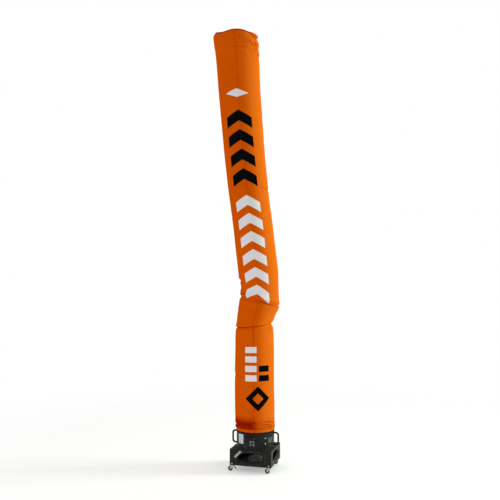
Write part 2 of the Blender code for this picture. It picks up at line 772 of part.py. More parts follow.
def add_blade(name, spin):
    """One fan blade: a twisted, slightly cambered sheet."""

    def build(work):
        bmesh.ops.create_grid(work, x_segments=4, y_segments=3, size=0.5)
        for vert in work.verts:
            out = vert.co.x + 0.5
            along = vert.co.y
            radius = BLADE_ROOT_RADIUS + out * (BLADE_TIP_RADIUS - BLADE_ROOT_RADIUS)
            pitch = BLADE_PITCH_ROOT + out * (BLADE_PITCH_TIP - BLADE_PITCH_ROOT)
            chord = BLADE_ROOT_CHORD + out * (BLADE_TIP_CHORD - BLADE_ROOT_CHORD)
            turn = along * chord * math.cos(pitch) / radius
            camber = BLADE_CAMBER * (1 - 4 * along**2)
            vert.co = (
                radius * math.cos(turn),
                radius * math.sin(turn),
                (HUB_BOTTOM + HUB_TOP) / 2 + along * chord * math.sin(pitch) + camber,
            )

    obj = add_object(name, mesh_from(build, name), CAST, turn=(0, 0, spin))
    thicken = obj.modifiers.new("thickness", "SOLIDIFY")
    thicken.thickness = BLADE_THICKNESS
    thicken.offset = 0.0
    return obj


def add_fan():
    """The fan: a hub, its shaft down to the motor, and the blades."""
    shaft_bottom = MOTOR_TOP - SHAFT_DIP
    profile = [
        (0, HUB_TOP + HUB_DOME),
        (0.5 * HUB_RADIUS, HUB_TOP + 0.8 * HUB_DOME),
        (HUB_RADIUS, HUB_TOP),
        (HUB_RADIUS, HUB_BOTTOM),
        (SHAFT_RADIUS, HUB_BOTTOM),
        (SHAFT_RADIUS, shaft_bottom),
        (0, shaft_bottom),
    ]
    fan = add_turned("fan", profile, SHAFT_SIDES, CAST)
    for i in range(BLADE_COUNT):
        combine(fan, add_blade(f"blade_{i}", 2 * math.pi * i / BLADE_COUNT), "UNION")
    return fan


def add_castor_plate(name, x, y):
    """The castor's plate, with the bearing under it on which the fork turns."""
    middle = HOUSING_BOTTOM - GAP - CASTOR_PLATE_THICKNESS / 2
    size = (CASTOR_PLATE_SIDE, CASTOR_PLATE_SIDE, CASTOR_PLATE_THICKNESS)
    plate = add_block(f"{name}_plate", size, ZINC, (x, y, middle))
    bearing = [
        (0, middle),
        (BEARING_RADIUS, middle),
        (BEARING_RADIUS - BEARING_TAPER, CROWN_TOP + GAP),
        (0, CROWN_TOP + GAP),
    ]
    combine(plate, add_turned(f"{name}_bearing", bearing, 16, ZINC, (x, y, 0)), "UNION")


def fork_leg(braked):
    """The outline of a fork leg, seen from the side with the swivel axis at x = 0."""
    top = CROWN_TOP - OVERLAP
    leg = [(-0.016, top), (0.014, top)]
    if braked:
        leg += [(PEDAL_PIVOT_X + 0.004, top), (PEDAL_PIVOT_X + 0.004, PEDAL_PIVOT_Z - 0.005)]
        leg += [(PEDAL_PIVOT_X - 0.004, PEDAL_PIVOT_Z - 0.005)]
    leg.append((0.011, CROWN_TOP - 0.012))
    for degrees in range(-30, -211, -30):
        angle = math.radians(degrees)
        boss_x = -TRAIL + LEG_BOSS_RADIUS * math.cos(angle)
        leg.append((boss_x, AXLE_HEIGHT + LEG_BOSS_RADIUS * math.sin(angle)))
    return leg


def add_fork(name, x, y, braked):
    """The swivelling fork: a crown, two legs and the axle, in one piece."""
    crown_size = (0.030, 2 * FORK_HALF_WIDTH, CROWN_THICKNESS)
    crown_place = (x - 0.001, y, CROWN_TOP - CROWN_THICKNESS / 2)
    fork = add_block(f"{name}_fork", crown_size, ZINC, crown_place)
    for side, sign in (("a", -1), ("b", 1)):
        place = (x, y + sign * (FORK_HALF_WIDTH - LEG_THICKNESS / 2), 0)
        turn = (math.pi / 2, 0, 0)
        leg_name = f"{name}_leg_{side}"
        leg = add_outline(leg_name, [fork_leg(braked)], LEG_THICKNESS, ZINC, place, turn)
        combine(fork, made_mesh(leg), "UNION")
    end = FORK_HALF_WIDTH + AXLE_HEAD_LENGTH
    under = FORK_HALF_WIDTH - OVERLAP
    axle = [
        (0, end),
        (AXLE_HEAD_RADIUS, end),
        (AXLE_HEAD_RADIUS, under),
        (AXLE_RADIUS, under),
        (AXLE_RADIUS, -under),
        (AXLE_HEAD_RADIUS, -under),
        (AXLE_HEAD_RADIUS, -end),
        (0, -end),
    ]
    place = (x - TRAIL, y, AXLE_HEIGHT)
    bar = add_turned(f"{name}_axle", axle, 12, ZINC, place, (math.pi / 2, 0, 0))
    combine(fork, bar, "UNION")


def add_wheel(name, x, y):
    """The wheel. A flat facet of its tread lies on the floor."""
    bore = AXLE_RADIUS + GAP
    edge = WHEEL_WIDTH / 2
    profile = [
        (bore, edge),
        (WHEEL_RADIUS - WHEEL_CHAMFER, edge),
        (WHEEL_RADIUS, edge - WHEEL_CHAMFER),
        (WHEEL_RADIUS, -edge + WHEEL_CHAMFER),
        (WHEEL_RADIUS - WHEEL_CHAMFER, -edge),
        (bore, -edge),
    ]
    half_facet = Matrix.Rotation(math.pi / WHEEL_SIDES, 4, "Z")
    turn = (Matrix.Rotation(math.pi / 2, 4, "X") @ half_facet).to_euler()
    place = (x - TRAIL, y, AXLE_HEIGHT)
    add_turned(f"{name}_wheel", profile, WHEEL_SIDES, RUBBER, place, turn, closed=True)


def add_pedal(name, x, y):
    """The brake pedal: a barrel between the fork's legs, and a plate that slopes to a foot tab."""
    half = WHEEL_WIDTH / 2 + LEG_SPACE - GAP
    barrel = [(0, half), (PEDAL_BARREL, half), (PEDAL_BARREL, -half), (0, -half)]
    place = (x + PEDAL_PIVOT_X, y, PEDAL_PIVOT_Z)
    pedal = add_turned(f"{name}_pedal", barrel, 12, ZINC, place, (math.pi / 2, 0, 0))
    start = Vector(place)
    for part, length, width, slope in (
        ("plate", PEDAL_PLATE_LENGTH, 2 * half, PEDAL_SLOPE),
        ("tab", PEDAL_TAB_LENGTH, PEDAL_TAB_WIDTH, PEDAL_TAB_SLOPE),
    ):
        along = Vector((math.cos(slope), 0, -math.sin(slope)))
        middle = start + along * length / 2
        size = (length + 2 * OVERLAP, width, PEDAL_THICKNESS)
        block = add_block(f"{name}_pedal_{part}", size, ZINC, middle, (0, slope, 0))
        combine(pedal, block, "UNION")
        start += along * length


def add_castors():
    across = HOUSING_WIDTH / 2 - CASTOR_INSET
    along = HOUSING_DEPTH / 2 - CASTOR_INSET
    for name, x, y, braked in (
        ("castor_front_left", -across, -along, True),
        ("castor_front_right", across, -along, False),
        ("castor_back_left", -across, along, True),
        ("castor_back_right", across, along, False),
    ):
        add_castor_plate(name, x, y)
        add_fork(name, x, y, braked)
        add_wheel(name, x, y)
        if braked:
            add_pedal(name, x, y)


def main():
    add_housing()
    add_duct()
    add_handles()
    add_switch_box()
    add_plates_and_bolts()
    add_motor()
    add_fan()
    add_castors()
    add_strap()
    add_sleeve()
    add_top_panel()


main()
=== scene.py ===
"""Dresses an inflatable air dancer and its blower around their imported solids.

Everything is in metres, in the frame of the solids: +Z is up, and the housing's front faces -Y.
The viewer stands VIEWER_TURN to the right of the front. A cloth place is given by its turn round
the sleeve, 0 at the viewer's side, and its height.
"""

import math
from collections import namedtuple

import bmesh
import bpy
import numpy as np
from bpy.props import FloatProperty, FloatVectorProperty, PointerProperty
from mathutils import Matrix, Vector


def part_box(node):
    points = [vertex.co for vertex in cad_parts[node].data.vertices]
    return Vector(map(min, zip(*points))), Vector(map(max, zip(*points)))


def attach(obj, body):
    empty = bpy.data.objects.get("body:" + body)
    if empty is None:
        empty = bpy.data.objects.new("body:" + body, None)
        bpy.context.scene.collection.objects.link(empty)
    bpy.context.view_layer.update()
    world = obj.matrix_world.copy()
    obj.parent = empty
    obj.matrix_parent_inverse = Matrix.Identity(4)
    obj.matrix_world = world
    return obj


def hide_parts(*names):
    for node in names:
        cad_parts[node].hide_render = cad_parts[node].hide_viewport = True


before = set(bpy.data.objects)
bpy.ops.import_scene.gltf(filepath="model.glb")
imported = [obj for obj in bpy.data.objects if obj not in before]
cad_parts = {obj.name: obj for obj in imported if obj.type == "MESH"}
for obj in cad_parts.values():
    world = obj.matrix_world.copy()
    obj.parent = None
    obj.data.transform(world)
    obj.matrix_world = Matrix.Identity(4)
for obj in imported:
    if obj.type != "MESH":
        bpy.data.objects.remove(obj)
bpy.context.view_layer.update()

bl_info = {
    "name": "Air Dancer",
    "version": (1, 0, 0),
    "blender": (4, 5, 0),
    "location": "3D View > Sidebar > Air Dancer",
    "description": "Cloth, steel, fasteners and a studio for an inflatable air dancer on its blower",
    "category": "Object",
}

BLOWER = "blower"
DUCT_AXIS = Vector((0.0497, 0.1711, 0.0))
VIEWER_TURN = math.radians(16)
TO_FRAME = Matrix.Translation(DUCT_AXIS) @ Matrix.Rotation(VIEWER_TURN, 4, "Z")

# The sleeve's sections, as its solid has them. side is to the viewer's right, forward is towards them.
Station = namedtuple("Station", "height side forward half_width half_depth")
HEM_RADIUS = 0.2268
BLOWN_RADIUS = 0.2387
STATIONS = (
    Station(0.439, 0.000, 0.000, HEM_RADIUS, HEM_RADIUS),
    Station(0.473, 0.000, 0.000, HEM_RADIUS, HEM_RADIUS),
    Station(0.486, 0.000, 0.000, 0.236, 0.236),
    Station(0.535, -0.005, 0.000, 0.234, 0.236),
    Station(0.740, -0.009, -0.002, 0.239, 0.238),
    Station(1.120, -0.011, -0.005, 0.237, 0.239),
    Station(1.580, -0.011, -0.009, 0.232, 0.243),
    Station(1.664, -0.014, -0.010, 0.228, 0.246),
    Station(1.719, -0.011, -0.009, 0.221, 0.252),
    Station(1.876, 0.025, 0.002, 0.233, 0.244),
    Station(1.956, 0.048, 0.010, 0.241, 0.241),
    Station(2.034, 0.054, 0.018, 0.233, 0.243),
    Station(2.119, 0.055, 0.024, 0.228, 0.244),
    Station(2.240, 0.044, 0.034, 0.236, 0.241),
    Station(2.361, 0.031, 0.047, 0.242, 0.239),
    Station(2.844, -0.021, 0.097, 0.241, 0.240),
    Station(3.324, -0.086, 0.146, 0.240, 0.240),
    Station(3.801, -0.135, 0.195, 0.246, 0.238),
    Station(4.513, -0.194, 0.269, 0.250, 0.234),
    Station(4.866, -0.213, 0.305, 0.257, 0.226),
    Station(5.078, -0.230, 0.327, 0.267, 0.215),
    Station(5.128, -0.235, 0.332, 0.268, 0.212),
    Station(5.158, -0.236, 0.334, 0.260, 0.204),
    Station(5.176, -0.236, 0.335, 0.243, 0.190),
)
STRAP_BOTTOM = 0.437
STRAP_TOP = 0.458
TOP_HEIGHT = STATIONS[-1].height

# How far above and below a height its section is averaged: little at the folds, more between them.
EASE_AT = (0.44, 0.54, 0.74, 1.50, 1.60, 2.28, 2.60, 4.80, 5.00, 5.18)
EASE = (0.012, 0.012, 0.090, 0.090, 0.014, 0.014, 0.110, 0.110, 0.014, 0.012)

# Folds that run round the sleeve, as its solid has them. turn and spread are in degrees.
Fold = namedtuple("Fold", "height rise turn spread depth tall lip")
FOLDS = (
    Fold(1.985, -0.055, -30, 150, 0.022, 0.022, 0.010),
    Fold(1.985, -0.055, 55, 60, 0.010, 0.016, 0.008),
    Fold(1.985, -0.055, 180, 110, 0.012, 0.026, 0.006),
    Fold(1.685, 0.025, -50, 110, 0.014, 0.018, 0.006),
    Fold(1.685, 0.025, 75, 80, 0.020, 0.024, 0.006),
    Fold(1.685, 0.025, 180, 110, 0.010, 0.024, 0.004),
    Fold(2.235, 0.000, -85, 55, 0.012, 0.020, 0.006),
    Fold(1.110, 0.006, -60, 70, 0.007, 0.034, 0.002),
    Fold(3.335, -0.020, 62, 62, 0.010, 0.018, 0.004),
    Fold(4.195, -0.030, 60, 50, 0.008, 0.026, 0.003),
    Fold(4.930, -0.050, 62, 48, 0.010, 0.026, 0.006),
    Fold(5.075, -0.090, 58, 55, 0.014, 0.022, 0.010),
)
CREASES = ((1.685, 0.025), (1.985, -0.055))

# Sharp lines pressed into the folds, the hem and the top. A line's painted shade is its depth times the
# factor on the next line.
CREASE_SHADE_PER_DEPTH = 95.0
CREASE_LINES = (
    Fold(1.690, 0.004, -45, 120, 0.0100, 0.0060, 0.0022),
    Fold(1.672, 0.030, 66, 60, 0.0060, 0.0055, 0.0022),
    Fold(1.990, -0.055, -50, 90, 0.0080, 0.0060, 0.0020),
    Fold(1.990, -0.030, 44, 72, 0.0120, 0.0065, 0.0030),
    Fold(1.990, -0.055, 180, 100, 0.0080, 0.0065, 0.0020),
    Fold(1.690, 0.025, 180, 100, 0.0080, 0.0065, 0.0020),
    Fold(3.335, -0.020, 64, 34, 0.0060, 0.0060, 0.0020),
    Fold(1.108, 0.004, -52, 42, 0.0036, 0.0070, 0.0010),
    Fold(5.085, -0.085, 48, 46, 0.0120, 0.0075, 0.0040),
    Fold(5.035, -0.060, 58, 34, 0.0060, 0.0070, 0.0020),
    Fold(0.515, 0.000, -48, 56, 0.0085, 0.0100, 0.0030),
    Fold(0.548, 0.006, -60, 44, 0.0050, 0.0080, 0.0020),
    Fold(0.512, 0.004, 150, 80, 0.0060, 0.0090, 0.0020),
    Fold(0.596, -0.040, 44, 34, 0.0040, 0.0055, 0.0020),
    Fold(0.570, -0.044, 34, 40, 0.0046, 0.0060, 0.0024),
    Fold(0.540, -0.036, 50, 40, 0.0050, 0.0060, 0.0024),
    Fold(0.510, -0.022, 40, 44, 0.0044, 0.0055, 0.0020),
)

# How far from the folds and the top seam the rows slant. The top's tilt, dome, ear, pleats and sags.
SLANT_TALL = 0.20
TOP_TILT_DROP = 0.019
TOP_SLANT_TALL = 0.42
TOP_DOME = 0.014
TOP_EAR = 0.040
EAR_TURN_AND_SPREAD = (80, 50)
TOP_PLEAT_DEPTH = 0.0045
TOP_PLEAT_REACH = 0.16
TOP_SLACK_DEPTH = 0.0030
TOP_SEAM_NIP = 0.0035
Sag = namedtuple("Sag", "turn spread drop")
CORNER_SAG = Sag(72, 34, 0.072)
SAGS = (CORNER_SAG, Sag(-38, 24, 0.026))

# Rows of the fine sleeve. step is the height of each row up to a height.
Rows = namedtuple("Rows", "top step")
ROWS = (
    Rows(0.460, 0.0070),
    Rows(0.640, 0.0045),
    Rows(1.580, 0.0150),
    Rows(1.780, 0.0055),
    Rows(1.880, 0.0080),
    Rows(2.130, 0.0055),
    Rows(2.300, 0.0080),
    Rows(3.250, 0.0150),
    Rows(3.400, 0.0070),
    Rows(4.780, 0.0150),
    Rows(TOP_HEIGHT, 0.0055),
)
COLUMNS = 200

# The top panel's fineness, and the thickness of the welt in its seam
TOP_COLUMNS = 240
TOP_RINGS = 42
WELT_RADIUS = 0.0026

# Scattered wrinkles. Each row is a patch of them: where its middle is, how far it reaches, how many
# it has, and how long, how wide and how deep they are. lean is the angle from level, in degrees, and
# aim is how far a wrinkle's lean turns for each metre that it lies to the right of the middle. Each
# patch has its own seed, from PATCH_SEED up, and a wrinkle's lean strays by about LEAN_SCATTER degrees.
PATCH_SEED = 40
LEAN_SCATTER = 11
Patch = namedtuple("Patch", "turn height reach_turn reach_height count length width depth lean aim")
PATCHES = (
    # Gathers above the strap, all round, and the finer ones at the viewer's right
    Patch(0, 0.492, 180, 0.012, 70, 0.034, 0.0065, 0.0030, 88, 0),
    Patch(36, 0.545, 44, 0.060, 34, 0.140, 0.0070, 0.0062, 164, 0),
    Patch(20, 0.610, 40, 0.050, 9, 0.150, 0.0080, 0.0026, 168, 0),
    Patch(-40, 0.530, 60, 0.040, 14, 0.150, 0.0090, 0.0036, 6, 0),
    Patch(180, 0.560, 120, 0.060, 18, 0.110, 0.0090, 0.0028, 20, 0),
    # The lower fold
    Patch(48, 1.655, 34, 0.050, 12, 0.110, 0.0080, 0.0032, 60, 260),
    Patch(-55, 1.655, 40, 0.050, 9, 0.120, 0.0090, 0.0032, 112, 200),
    Patch(10, 1.735, 60, 0.035, 10, 0.150, 0.0085, 0.0026, 12, 90),
    Patch(180, 1.680, 70, 0.070, 14, 0.120, 0.0090, 0.0030, 60, 160),
    # Between the folds
    Patch(70, 1.860, 40, 0.060, 8, 0.160, 0.0100, 0.0034, 118, 120),
    Patch(-30, 1.840, 60, 0.070, 8, 0.190, 0.0110, 0.0030, 70, 120),
    # The upper fold
    Patch(30, 1.950, 40, 0.030, 12, 0.120, 0.0075, 0.0036, 150, 140),
    Patch(-60, 2.040, 40, 0.060, 12, 0.130, 0.0085, 0.0036, 60, 220),
    Patch(10, 2.050, 60, 0.050, 12, 0.150, 0.0085, 0.0030, 105, 220),
    Patch(190, 2.010, 70, 0.090, 14, 0.140, 0.0095, 0.0030, 100, 160),
    Patch(-80, 2.230, 40, 0.060, 8, 0.150, 0.0090, 0.0032, 14, 200),
    # Single slack places up the sleeve
    Patch(62, 3.330, 30, 0.055, 7, 0.130, 0.0085, 0.0036, 20, 300),
    Patch(58, 4.215, 34, 0.090, 8, 0.170, 0.0095, 0.0032, 150, 60),
    Patch(-70, 3.800, 60, 0.500, 8, 0.240, 0.0160, 0.0018, 160, 0),
    Patch(150, 3.300, 90, 0.900, 16, 0.260, 0.0170, 0.0018, 30, 0),
    Patch(-30, 1.140, 70, 0.120, 6, 0.230, 0.0140, 0.0020, 8, 0),
    # Puckers under the top seam, closest at the viewer's right
    Patch(44, 5.010, 42, 0.080, 30, 0.130, 0.0085, 0.0076, 150, -120),
    Patch(46, 4.880, 40, 0.080, 14, 0.160, 0.0090, 0.0050, 145, 60),
    Patch(-50, 5.080, 50, 0.050, 12, 0.100, 0.0080, 0.0028, 70, 60),
    Patch(180, 5.070, 80, 0.060, 20, 0.100, 0.0085, 0.0032, 92, 40),
)

# Slow swells of the blown-up cloth: how deep, how many round the sleeve, how tall, and their seed
SWELLS = ((0.0022, 7, 0.34, 21), (0.0014, 15, 0.13, 22), (0.0005, 44, 0.035, 23))

# Smooth noise on the cloth is worked out up to this height.
NOISE_TOP = 5.4

# Heights between which the painted shade above the strap darkens the cloth, and between which it clears
HEM_SHADE_BOTTOM = (0.466, 0.508)
HEM_SHADE_TOP = (0.545, 0.655)

# The long seam up the viewer's side, and the cloth that puckers along it
SEAM_TURN = math.radians(-3)
SEAM_HALF_WIDTH = 0.0065
SEAM_RAISE = 0.0014
SEAM_GROOVE = 0.0016
PUCKER_PITCH = 0.036
PUCKER_REACH = 0.055
PUCKER_DEPTH = 0.0026

# Threads of the nylon's weave, in radians to a metre
WEAVE_RATE = 5200.0

# The printed shapes, plain bands and diamonds. across is from the seam, to the viewer's right.
CHEVRON_MIDDLE = -0.022
CHEVRON_SLOPE = 0.55
Chevrons = namedtuple("Chevrons", "bottom top pitch tall colour")
CHEVRONS = (
    Chevrons(2.065, 3.300, 0.2100, 0.115, "white"),
    Chevrons(3.415, 4.300, 0.2250, 0.125, "black"),
)
Diamond = namedtuple("Diamond", "across height half_width half_height hole colour")
DIAMONDS = (
    Diamond(CHEVRON_MIDDLE, 4.410, 0.135, 0.050, 0.00, "white"),
    Diamond(0.050, 0.850, 0.150, 0.145, 0.44, "black"),
)
Bars = namedtuple("Bars", "left right bottom top pitch tall colour")
BARS = (
    Bars(-0.105, 0.035, 1.050, 1.470, 0.110, 0.072, "white"),
    Bars(0.062, 0.200, 1.050, 1.260, 0.110, 0.072, "black"),
)

# The blower, as its solids have it
HOUSING_HALF_WIDTH = 0.250
HOUSING_HALF_DEPTH = 0.233
DUCT_RADIUS = 0.225
DUCT_WALL = 0.002
DUCT_TOP = 0.478
DUCT_FLOOR = 0.2573
FLANGE_RADIUS = 0.2325
FLANGE_THICKNESS = 0.004
AXLE_HEIGHT = 0.02864
WHEEL_RADIUS = AXLE_HEIGHT
WHEEL_HALF_WIDTH = 0.010
WHEEL_BORE = 0.0043
CASTOR_TRAIL = 0.025
FORK_HALF_WIDTH = 0.014
CASTORS = (
    ("castor_front_left", -0.224, -0.207),
    ("castor_front_right", 0.224, -0.207),
    ("castor_back_left", -0.224, 0.207),
    ("castor_back_right", 0.224, 0.207),
)

# A wheel's hub: the radii of its tyre's seat and of its boss, and how thick its rim is
HUB_SEAT = 0.0195
HUB_BOSS = 0.0085
HUB_RIM = 0.0028

# A brake pedal's tab: where it leaves the castor, its slope, and the ridges on it
PEDAL_TAB_START = (0.0373, 0.0366)
PEDAL_TAB_SLOPE = 12
PEDAL_LIFT = 0.0016
PEDAL_RIDGES = (0.0035, 0.0070, 0.0105)
PEDAL_RIDGE_SIZE = (0.0014, 0.0220, 0.0010)

# The strap is wound from behind the viewer's left, laps over itself and is sewn there.
STRAP_START_TURN = 150
STRAP_LAP = 34
STRAP_INNER = 0.2271
STRAP_THICK = 0.0023
STRAP_STEPS = 260
STRAP_SECTION_OUT = (0, 0, 0.2, 0.8, 1, 1, 1, 0.8, 0.2)
STRAP_SECTION_UP = (0.10, 0.90, 1, 1, 0.90, 0.5, 0.10, 0, 0)
STRAP_INSET = 0.0003
STRAP_SWELL = 0.0003
STRAP_RAMP = 0.16
STITCH = 0.0040
STITCH_PATH = ((0.12, -0.0003), (0.3, 0.0002), (0.7, 0.0002), (0.88, -0.0003))
THREAD_RADIUS = 0.0004

# Heads of screws, rivets, nuts and bolts, by their radius and height
FLANGE_SCREW = (0.0030, 0.0022)
INLET_SCREW = (0.0030, 0.0018)
PANEL_RIVET = (0.0024, 0.0013)
PLATE_RIVET = (0.0022, 0.0012)
SWITCH_PLATE_SCREW = (0.0020, 0.0012)
SWITCH_BOX_SCREW = (0.0026, 0.0014)
MOTOR_SCREW = (0.0034, 0.0026)
HUB_BOLT = (0.0036, 0.0030)
AXLE_NUT = (0.0042, 0.0022)
CASTOR_BOLT = (0.0028, 0.0022)

# Where they go: circles round the duct's axis, and distances from a middle or from an edge
FLANGE_SCREWS = 12
FLANGE_SCREW_CIRCLE = 0.2290
MOTOR_SCREW_CIRCLE = 0.068
HUB_BOLT_CIRCLE = 0.040
CASTOR_BOLT_REACH = 0.0185
SWITCH_PLATE_SCREW_REACH = 0.0222
SWITCH_BOX_SCREW_INSET = 0.007
PLATE_RIVET_INSET = 0.0055
FRONT_PLATE_RIVET_REACH = 0.046
PANEL_RIVET_INSET = 0.012
RIVETS_A_ROW = 9
RIVET_LEVELS = (0.0784, 0.2507)
CORNERS = ((-1, -1), (-1, 1), (1, -1), (1, 1))

# Beads of weld: their radius, how much it ripples, and how many steps there are along them
DUCT_WELD = 0.0017
HANDLE_WELD = 0.0021
WELD_RIPPLE = 0.0005
DUCT_WELD_STEPS = 110
HANDLE_WELD_STEPS = 48

# The panels and their inlets
Panel = namedtuple("Panel", "name turn reach half_width")
PANELS = (
    Panel("front", 0, HOUSING_HALF_DEPTH, HOUSING_HALF_WIDTH),
    Panel("back", 180, HOUSING_HALF_DEPTH, HOUSING_HALF_WIDTH),
    Panel("right", 90, HOUSING_HALF_WIDTH, 0.2307),
    Panel("left", -90, HOUSING_HALF_WIDTH, 0.2307),
)
PANEL_HALF_HEIGHT = 0.0902
INLET_LEVEL = 0.1645
INLET_MARGIN = 0.070
INLET_HALF_HEIGHT = 0.072
INLET_SQUARENESS = 2.4
INLET_SIDES = 96
INLET_SCREW_OFFSET = 0.0034
INLET_SCREW_TURNS = (18, 62, 90, 118, 162, 198, 242, 270, 298, 342)

# A panel's section: the share of the way from its hole to its edge, the distance past that, the depth
PANEL_SECTION = (
    (0, 0.0, DUCT_WALL),
    (0, 0.0, 0.0009),
    (0, 0.0003, 0.0003),
    (0, 0.0010, 0.0),
    (0.5, 0.0, 0.0),
    (1, -0.0010, 0.0),
    (1, -0.0002, 0.0003),
    (1, 0.0, 0.0010),
    (1, 0.0, DUCT_WALL),
)

# An inlet's bell mouth: the width of its flange, and how deep and how far inwards its throat goes
BELL_FLANGE = 0.005
BELL_DEPTH = 0.0276
BELL_TAPER = 0.026
BELL_STEPS = 9

# The blank plates: turn, width, and lower and upper edge of those on the duct
DUCT_PLATES = ((-34, 0.084, 0.318, 0.428), (66.5, 0.076, 0.331, 0.388))
DUCT_PLATE_FACE = 0.2266
FRONT_PLATE_MIDDLE = Vector((-0.151, -0.2343, 0.202))
FRONT_PLATE_TILT = 44
FRONT_PLATE_CLEARANCE = 0.057

# The handles
HANDLE_BAR = 0.0110
HANDLE_ENDS = (0.2860, 0.4240)
HANDLE_REACH = 0.2810
HANDLE_CORNER = 0.0280
HANDLE_BEND_STEPS = 12

# The switch, the marks round its knob, and the cable gland's nut and ribs
KNOB_SIDE = 0.033
KNOB_HEIGHT = 0.349
SWITCH_MARKS = 7
SWITCH_MARK_STEP = 15
SWITCH_MARK_CIRCLE = 0.0212
SWITCH_MARK_LONG = 0.0042
SWITCH_MARK_SHORT = 0.0022
POINTER_SIZE = (0.0020, 0.0004, 0.0110)
GLAND_RIBS = 9
GLAND_NUT = (
    (0.0120, 0.0000),
    (0.0128, 0.0006),
    (0.0128, 0.0052),
    (0.0118, 0.0062),
    (0.0102, 0.0062),
    (0.0102, 0.0000),
)

# The motor, its cooling fins, and the fan's hub
MOTOR_RADIUS = 0.082
MOTOR_TOP = 0.122
MOTOR_FINS = 36
FINS_LOW = 0.0850
FINS_HIGH = 0.1170
FIN_SIZE = (0.0060, 0.0022, FINS_HIGH - FINS_LOW)
HUB_BOTTOM = 0.318

# How kept solids are smoothed and rounded: corners this close are joined, and edges flatter than the
# one angle are shaded smooth and steeper than the other are rounded
JOIN_WITHIN = 0.00002
SMOOTH_BELOW = math.radians(34)
ROUND_ABOVE = math.radians(50)

# The floor: how far it reaches each way, where it starts to fade, and how brightly the paper glows
FLOOR_REACH = 7.0
FLOOR_FADE = 1.2
PAPER_GLOW = 0.37

# The studio's lamps. Places are in the viewer's frame, from the middle of the sleeve's foot.
Lamp = namedtuple("Lamp", "name place aim_height width tall power colour")
LAMPS = (
    Lamp("key", (5.0, 0.2, 4.1), 3.5, 1.4, 5.0, 238.0, (0.80, 1.0, 0.76)),
    Lamp("fill", (-5.0, -1.5, 3.4), 2.6, 2.0, 4.5, 22.0, (1.0, 1.0, 1.0)),
)

# The camera, as it was fitted to the photograph
CAMERA_PLACE = (2.0540, -7.0564, 2.145)
CAMERA_TILT = math.radians(93.528)
CAMERA_LENS = 44.22
CAMERA_SENSOR = 36.0


def rgb(colour):
    return (*colour[:3], 1.0)


class Socket:
    """A shader socket. Arithmetic on it adds the Math nodes that work it out."""

    def __init__(self, finish, socket):
        self.finish = finish
        self.socket = socket

    def math(self, operation, *values):
        return self.finish.node("ShaderNodeMath", {"operation": operation}, dict(enumerate(values)))

    def __add__(self, other):
        return self.math("ADD", self, other)

    def __radd__(self, other):
        return self.math("ADD", other, self)

    def __sub__(self, other):
        return self.math("SUBTRACT", self, other)

    def __rsub__(self, other):
        return self.math("SUBTRACT", other, self)

    def __mul__(self, other):
        return self.math("MULTIPLY", self, other)

    def __rmul__(self, other):
        return self.math("MULTIPLY", other, self)

    def __truediv__(self, other):
        return self.math("DIVIDE", self, other)

    def __rtruediv__(self, other):
        return self.math("DIVIDE", other, self)

    def __mod__(self, other):
        return self.math("FLOORED_MODULO", self, other)

    def __abs__(self):
        return self.math("ABSOLUTE", self)

    def sine(self):
        return self.math("SINE", self)

    def at_most(self, other):
        return self.math("MINIMUM", self, other)

    def at_least(self, other):
        return self.math("MAXIMUM", self, other)

    def rise(self, low, high):
        """0 below low and 1 above high, with a smooth step between them."""
        settings = {"interpolation_type": "SMOOTHSTEP"}
        return self.finish.node("ShaderNodeMapRange", settings, {0: self, 1: low, 2: high})

    def part(self, axis):
        """One of a vector's three numbers."""
        return self.finish.node("ShaderNodeSeparateXYZ", {}, {0: self}, "XYZ".index(axis))


class Finish:
    """A material and what varies over it. Numbers that don't vary go on the shader itself."""

    def __init__(self, name, **fixed):
        self.material = bpy.data.materials.new(name)
        self.material.use_nodes = True
        self.tree = self.material.node_tree
        self.shader = self.tree.nodes["Principled BSDF"]
        for key, value in fixed.items():
            self.shader.inputs[key.replace("_", " ").title().replace("Ior", "IOR")].default_value = value

    def feed(self, socket, value):
        if isinstance(value, Socket):
            self.tree.links.new(value.socket, socket)
        else:
            socket.default_value = value

    def node(self, kind, settings=None, values=None, output=0):
        """Adds a node with its settings, then the values or links of its sockets."""
        made = self.tree.nodes.new(kind)
        for key, value in (settings or {}).items():
            setattr(made, key, value)
        for key, value in (values or {}).items():
            self.feed(made.inputs[key], value)
        return Socket(self, made.outputs[output])

    def mix(self, share, first, second):
        """A colour between two colours."""
        colours = [c if isinstance(c, Socket) else rgb(c) for c in (first, second)]
        values = {0: share, 6: colours[0], 7: colours[1]}
        return self.node("ShaderNodeMix", {"data_type": "RGBA"}, values, 2)

    def place(self):
        """The place on the object, in metres."""
        return self.node("ShaderNodeTexCoord", output="Object")

    def flat(self):
        """The place on the flat cloth, in metres."""
        return self.node("ShaderNodeUVMap", {"uv_map": "flat"})

    def stretch(self, vector, scale):
        settings = {"operation": "MULTIPLY"}
        return self.node("ShaderNodeVectorMath", settings, {0: vector, 1: scale})

    def noise(self, scale, detail=2.0, vector=None, rough=0.5):
        """Cloudy noise from 0 to 1, with about scale clouds to a metre."""
        vector = vector or self.place()
        values = {"Vector": vector, "Scale": scale, "Detail": detail, "Roughness": rough}
        return self.node("ShaderNodeTexNoise", {}, values)

    def bump(self, height, distance, strength=1.0):
        """Raises the surface. distance is how high a height of 1 stands, in metres."""
        values = {"Strength": strength, "Distance": distance, "Height": height}
        self.shade(Normal=self.node("ShaderNodeBump", {}, values))

    def shade(self, **values):
        for key, value in values.items():
            self.feed(self.shader.inputs[key.replace("_", " ")], value)
        return self.material


def facing_up(finish):
    """1 on surfaces that face up and 0 on those that face sideways or down."""
    normal = finish.node("ShaderNodeNewGeometry", output="Normal")
    return normal.part("Z").rise(0.55, 0.95)


